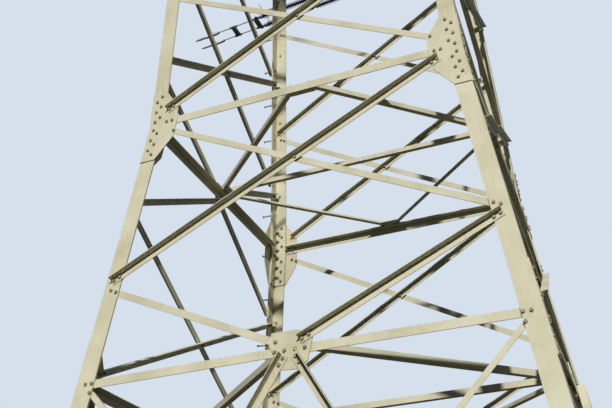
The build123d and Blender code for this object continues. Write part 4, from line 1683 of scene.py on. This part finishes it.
    def horns(self, axes: SetFrame) -> None:
        """Arcing horns that rise from the end caps of the rods, with a thick end.

        Args:
            axes: The set's axes.
        """
        for along, lean in ((self.horn_inset, -1.0), (axes.length - self.horn_inset, 1.0)):
            for side in (-1, 1):
                across = side * self.rod_spacing / 2
                self.metal.rod([axes.at(along + lean * out, across + side * aside, rise)
                                for out, aside, rise, _ in self.horn_path],
                               [self.horn_radius * share for *_, share in self.horn_path],
                               sides=8)


@dataclass(frozen=True)
class LegStage:
    """One straight stage of the legs, and the rolled angle that it is made of.

    Attributes:
        low: Its lower level.
        high: Its upper level.
        half: Half width of the tower over the legs' heels at the lower level.
        slope: How fast the half width shrinks with height.
        width: Flange width.
        thick: Flange thickness.
    """

    low: float
    high: float
    half: float
    slope: float
    width: float
    thick: float

    def half_at(self, level: float) -> float:
        """Half width of the tower at a level."""
        return self.half - self.slope * (level - self.low)


@dataclass(frozen=True)
class BoltGroup:
    """Nodes whose joints get the same bolts, which become one piece.

    Attributes:
        name: The group's name.
        word: A word that the nodes' names hold.
        diameter: The bolts' diameter.
        per_end: The most bolts at a bar's end.
        pitch: Distance between them.
    """

    name: str
    word: str
    diameter: float
    per_end: int
    pitch: float


@dataclass
class Tower:
    """The steel tower: paint on every node and bolts in every joint.

    Attributes:
        nodes: The steel nodes by name.
        steel: The same steel as one body.
        paint: Finish of the bars.
        bolt_paint: Finish of the bolts.
        stages: The legs, from the base up.
        bolt_groups: The joints to bolt.
        splice_bolt: Diameter of the legs' own bolts.
        gusset_thick: Thickness of the kink and belt gussets.
        splice_thick: Thickness of the splice angle inside the leg.
        fit_gap: Gap between two plates that lie on each other.
        splice_rises: Heights of the splice bolts above and below the kink.
        splice_gauges: Their two distances from the leg's heel, in turn.
        belt_drop: Height of the kink over the lower belt.
        belt_rises: Heights of the belt gussets' bolts above and below the belt.
        step_low: Level of the lowest step bolt.
        step_high: Level under which the last one stays.
        step_pitch: Rise from one step bolt to the next.
        step_gauge: Their distance from the heel, in flange widths.
    """

    nodes: dict[str, bpy.types.Object]
    steel: Steelwork
    paint: bpy.types.Material
    bolt_paint: bpy.types.Material
    stages: tuple[LegStage, ...] = (
        LegStage(0.0, 8.315, 2.906, 0.121, 185 * MM, 18 * MM),
        LegStage(8.315, 17.665, 1.900, 0.035, 185 * MM, 16 * MM),
        LegStage(17.665, 26.665, 1.573, 0.075, 140 * MM, 12 * MM),
        LegStage(26.665, 33.900, 0.898, 0.106, 90 * MM, 8 * MM))
    bolt_groups: tuple[BoltGroup, ...] = (
        BoltGroup("lower_faces", "lower_face", 20 * MM, 2, 72 * MM),
        BoltGroup("upper_faces", "upper_face", 20 * MM, 2, 60 * MM),
        BoltGroup("plan_bracing", "plan_bracing", 20 * MM, 2, 50 * MM),
        BoltGroup("top_faces", "top_face", 16 * MM, 1, 50 * MM),
        BoltGroup("arms", "_arm_", 16 * MM, 1, 50 * MM),
        BoltGroup("peak", "earth_wire_peak", 16 * MM, 1, 50 * MM))
    splice_bolt: float = 20 * MM
    gusset_thick: float = 12 * MM
    splice_thick: float = 14 * MM
    fit_gap: float = 0.3 * MM
    splice_rises: tuple[float, ...] = (0.43, 0.36, 0.28, 0.21, 0.12, 0.06)
    splice_gauges: tuple[float, float] = (0.125, 0.065)
    belt_drop: float = 3.2
    belt_rises: tuple[float, ...] = (0.42, 0.28, 0.14)
    step_low: float = 3.455
    step_high: float = 33.0
    step_pitch: float = 0.345
    step_gauge: float = 0.45

    @property
    def foot(self) -> LegStage:
        """The splayed stage under the kink."""
        return self.stages[0]

    @property
    def body(self) -> LegStage:
        """The slim stage over the kink."""
        return self.stages[1]

    def dress(self) -> None:
        """Paints the steel and bolts it, group by group."""
        self.paint_nodes()
        self.bolt_joints()
        self.bolt_splices()
        self.bolt_belt()
        self.add_step_bolts()

    def paint_nodes(self) -> None:
        """Gives each steel node the tower's paint."""
        for name, piece in self.nodes.items():
            piece.data.materials.clear()
            piece.data.materials.append(self.paint)
            log.info("painted %s", name)

    def bolt_joints(self) -> None:
        """Bolts and packing washers at the ends and crossings of the angles."""
        packers = packer_tree()
        for group in self.bolt_groups:
            joints = JointBolts(self.steel, pitch=group.pitch)
            bolts: list[BoltPoint] = []
            piles: list[PackerPoint] = []
            for name in self.nodes:
                if group.word not in name:
                    continue
                bars = self.steel.bars[name]
                bolts += joints.at_ends(bars, group.per_end)
                if "face" in name:
                    crossed = joints.at_crossings(bars)
                    bolts += crossed[0]
                    piles += crossed[1]
            self.place(f"bolts_{group.name}", bolts, group.diameter)
            if piles:
                piece = packers.grow(f"packers_{group.name}", [p.place for p in piles],
                                     {"axis": [p.axis for p in piles],
                                      "height": [p.height for p in piles]}, self.paint)
                ride_as(piece)

    def place(self, name: str, bolts: Sequence[BoltPoint], diameter: float) -> None:
        """Grows a group of hexagon bolts and hangs it on the frame.

        Args:
            name: The piece's name.
            bolts: The bolt points.
            diameter: The bolts' diameter.
        """
        tree = hex_bolt_tree(f"Hexagon_{name}", diameter)
        ride_as(tree.bolt(name, bolts, self.bolt_paint))

    def bolt_splices(self) -> None:
        """Two staggered rows through each leg flange, above and below the kink."""
        bolts: list[BoltPoint] = []
        grip = self.gusset_thick + self.foot.thick + self.splice_thick + 2 * self.fit_gap
        for side in Outward:
            along = side.vector.cross(UP) * -1
            for sign in (-1.0, 1.0):
                bolts += self.rows(side, along * sign, 0.0, self.splice_rises, grip)
        self.place("bolts_leg_splices", bolts, self.splice_bolt)

    def bolt_belt(self) -> None:
        """Staggered rows that hold the side gussets of the belt to the legs."""
        bolts: list[BoltPoint] = []
        grip = self.gusset_thick + self.foot.thick + self.fit_gap
        for side in (Outward.LEFT, Outward.RIGHT):
            along = side.vector.cross(UP)
            for sign in (-1.0, 1.0):
                bolts += self.rows(side, along * sign, -self.belt_drop, self.belt_rises, grip)
        self.place("bolts_belt_gussets", bolts, self.splice_bolt)

    def rows(self, side: Outward, toward: Vector, middle: float, rises: Sequence[float],
             grip: float) -> list[BoltPoint]:
        """Two staggered rows of bolts through one flange of a leg.

        Args:
            side: The face.
            toward: Unit vector along the face to the leg.
            middle: Height of the joint's middle above the kink.
            rises: Heights of the bolts above and below the middle.
            grip: Thickness of the steel they clamp.

        Returns:
            The bolts.
        """
        bolts: list[BoltPoint] = []
        for index, rise in enumerate(rises):
            gauge = self.splice_gauges[index % 2]
            for height in (middle + rise, middle - rise):
                stage = self.body if height > 0 else self.foot
                heel = self.body.half - height * stage.slope
                normal = (side.vector + UP * stage.slope).normalized()
                place = (side.vector * (heel + self.gusset_thick) + toward * (heel - gauge)
                         + UP * (self.body.low + height))
                bolts.append(BoltPoint(place, normal, grip))
        return bolts

    def add_step_bolts(self) -> None:
        """Step bolts up the back left leg, on one flange and then on the other."""
        bolts: list[BoltPoint] = []
        count = int((self.step_high - self.step_low) / self.step_pitch)
        for index in range(count):
            level = self.step_low + index * self.step_pitch
            side, other = Outward.LEFT.vector, Outward.BACK.vector
            if index % 2:
                side, other = other, side
            stage = next(s for s in self.stages if level < s.high)
            half = stage.half_at(level)
            normal = (side + UP * stage.slope).normalized()
            start = (side * half + other * (half - stage.width * self.step_gauge)
                     + UP * level - normal * (stage.thick / 2))
            outer, _ = self.steel.stack(start, normal)
            inner, _ = self.steel.stack(start, -normal)
            bolts.append(BoltPoint(start + normal * outer, normal, outer + inner))
        ride_as(step_bolt_tree().bolt("step_bolts", bolts, self.bolt_paint))


def ride_as(piece: bpy.types.Object) -> None:
    """Hangs a finished piece on the frame.

    Args:
        piece: The piece, at the origin.
    """
    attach(piece, BODY)
    log.info("%s: %d faces", piece.name, len(piece.data.polygons))


@dataclass
class StudioCamera:
    """The camera, solved from the tower's own lines in the photograph.

    Attributes:
        place: Its position.
        turn: Degrees it is turned to the left of the tower's front.
        tilt: Degrees it looks up.
        roll: Degrees it is rolled.
        focal_px: Focal length in pixels of the photograph.
        sensor_mm: Sensor width.
        reach: Nearest and farthest distance that it sees.
    """

    place: tuple[float, float, float] = (2.868, -9.429, 2.241)
    turn: float = -20.467
    tilt: float = 29.615
    roll: float = -2.000
    focal_px: float = 881.28
    sensor_mm: float = 36.0
    reach: tuple[float, float] = (0.1, 500.0)

    def build(self) -> bpy.types.Object:
        """Makes the camera and sets it as the scene's.

        Returns:
            The camera.
        """
        turn, tilt, roll = (math.radians(a) for a in (self.turn, self.tilt, self.roll))
        ahead = Vector((math.sin(turn) * math.cos(tilt), math.cos(turn) * math.cos(tilt),
                        math.sin(tilt)))
        right = Vector((math.cos(turn), -math.sin(turn), 0.0))
        above = right.cross(ahead)
        right, above = (right * math.cos(roll) + above * math.sin(roll),
                        above * math.cos(roll) - right * math.sin(roll))
        lens = bpy.data.cameras.new("Camera")
        lens.sensor_width = self.sensor_mm
        lens.lens = self.focal_px * self.sensor_mm / PHOTO_WIDTH
        lens.clip_start, lens.clip_end = self.reach
        camera = bpy.data.objects.new("Camera", lens)
        axes = Matrix((right, above, -ahead)).transposed()
        camera.matrix_world = Matrix.Translation(Vector(self.place)) @ axes.to_4x4()
        bpy.context.scene.collection.objects.link(camera)
        bpy.context.scene.camera = camera
        return camera


@dataclass
class Studio:
    """Pale floor, pale background, one sun-like key lamp and a faint even fill.

    Attributes:
        floor_half: Half width of the floor.
        floor_level: Level of the floor, just under the feet.
        key_colour: Colour of the key lamp.
        key_strength: Its strength.
        key_from: Direction that its light comes from.
        key_spread: Degrees across it.
        fill: Colour of the light from all round.
        fill_strength: Its strength.
        background: Colour seen past the object.
    """

    floor_half: float = 70.0
    floor_level: float = -2 * MM
    key_colour: str = "#FFFBF3"
    key_strength: float = 3.22
    key_from: tuple[float, float, float] = (0.29, -0.95, 0.60)
    key_spread: float = 1.6
    fill: str = "#C9D3E0"
    fill_strength: float = 0.06
    background: str = "#D5E0EC"

    def build(self) -> None:
        """Makes the floor, the lamp and the world."""
        self.floor()
        lamp = bpy.data.lights.new("Key", "SUN")
        lamp.energy = self.key_strength
        lamp.angle = math.radians(self.key_spread)
        lamp.color = linear(self.key_colour)[:3]
        key = bpy.data.objects.new("Key", lamp)
        key.rotation_mode = "QUATERNION"
        key.rotation_quaternion = Vector(self.key_from).to_track_quat("Z", "Y")
        bpy.context.scene.collection.objects.link(key)
        self.world()
        bpy.context.scene.view_settings.view_transform = "Standard"

    def floor(self) -> None:
        """A wide level floor under the tower."""
        mesh = bpy.data.meshes.new("Floor")
        h, level = self.floor_half, self.floor_level
        mesh.from_pydata([(-h, -h, level), (h, -h, level), (h, h, level), (-h, h, level)], [],
                         [(0, 1, 2, 3)])
        mesh.materials.append(PaleFloor().build())
        floor = bpy.data.objects.new("Floor", mesh)
        bpy.context.scene.collection.objects.link(floor)

    def world(self) -> None:
        """Even fill for the object, and a plain pale background where the camera looks past it."""
        world = bpy.data.worlds.new("Studio")
        bpy.context.scene.world = world
        world.use_nodes = True
        tree = world.node_tree
        tree.nodes.clear()
        seen: object = 0.0
        path = add_node(tree, "ShaderNodeLightPath")
        for ray in ("Is Camera Ray", "Is Glossy Ray", "Is Transmission Ray"):
            seen = add_node(tree, "ShaderNodeMath", {0: seen, 1: path.outputs[ray]},
                            operation="MAXIMUM")
        light = add_node(tree, "ShaderNodeBackground",
                         {"Color": linear(self.fill), "Strength": self.fill_strength})
        plain = add_node(tree, "ShaderNodeBackground",
                         {"Color": linear(self.background), "Strength": 1.0})
        both = add_node(tree, "ShaderNodeMixShader", {"Fac": seen, 1: light, 2: plain})
        add_node(tree, "ShaderNodeOutputWorld", {"Surface": both})


def main() -> None:
    """Builds the studio and dresses the tower, sub-assembly by sub-assembly."""
    logging.basicConfig(level=logging.INFO, format="%(name)s: %(message)s")
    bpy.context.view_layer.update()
    nodes = frame["nodes"]
    steel_nodes = {n: o for n, o in nodes.items() if "insulators" not in n}
    Studio().build()
    StudioCamera().build()
    steel = Steelwork(nodes)
    Tower(steel_nodes, steel, TowerPaint().build(), BoltPaint().build()).dress()
    porcelain, zinc = GlazedPorcelain().build(), GalvanisedSteel().build()
    aluminium = CastAluminium().build()
    sheds, pins = shed_tree(), hex_bolt_tree("Set_pins", SET_PIN)
    for name in nodes:
        if "insulators" in name:
            InsulatorSets(name, steel.readers[name], porcelain, zinc, aluminium,
                          sheds, pins).dress()


if __name__ == "__main__":
    main()
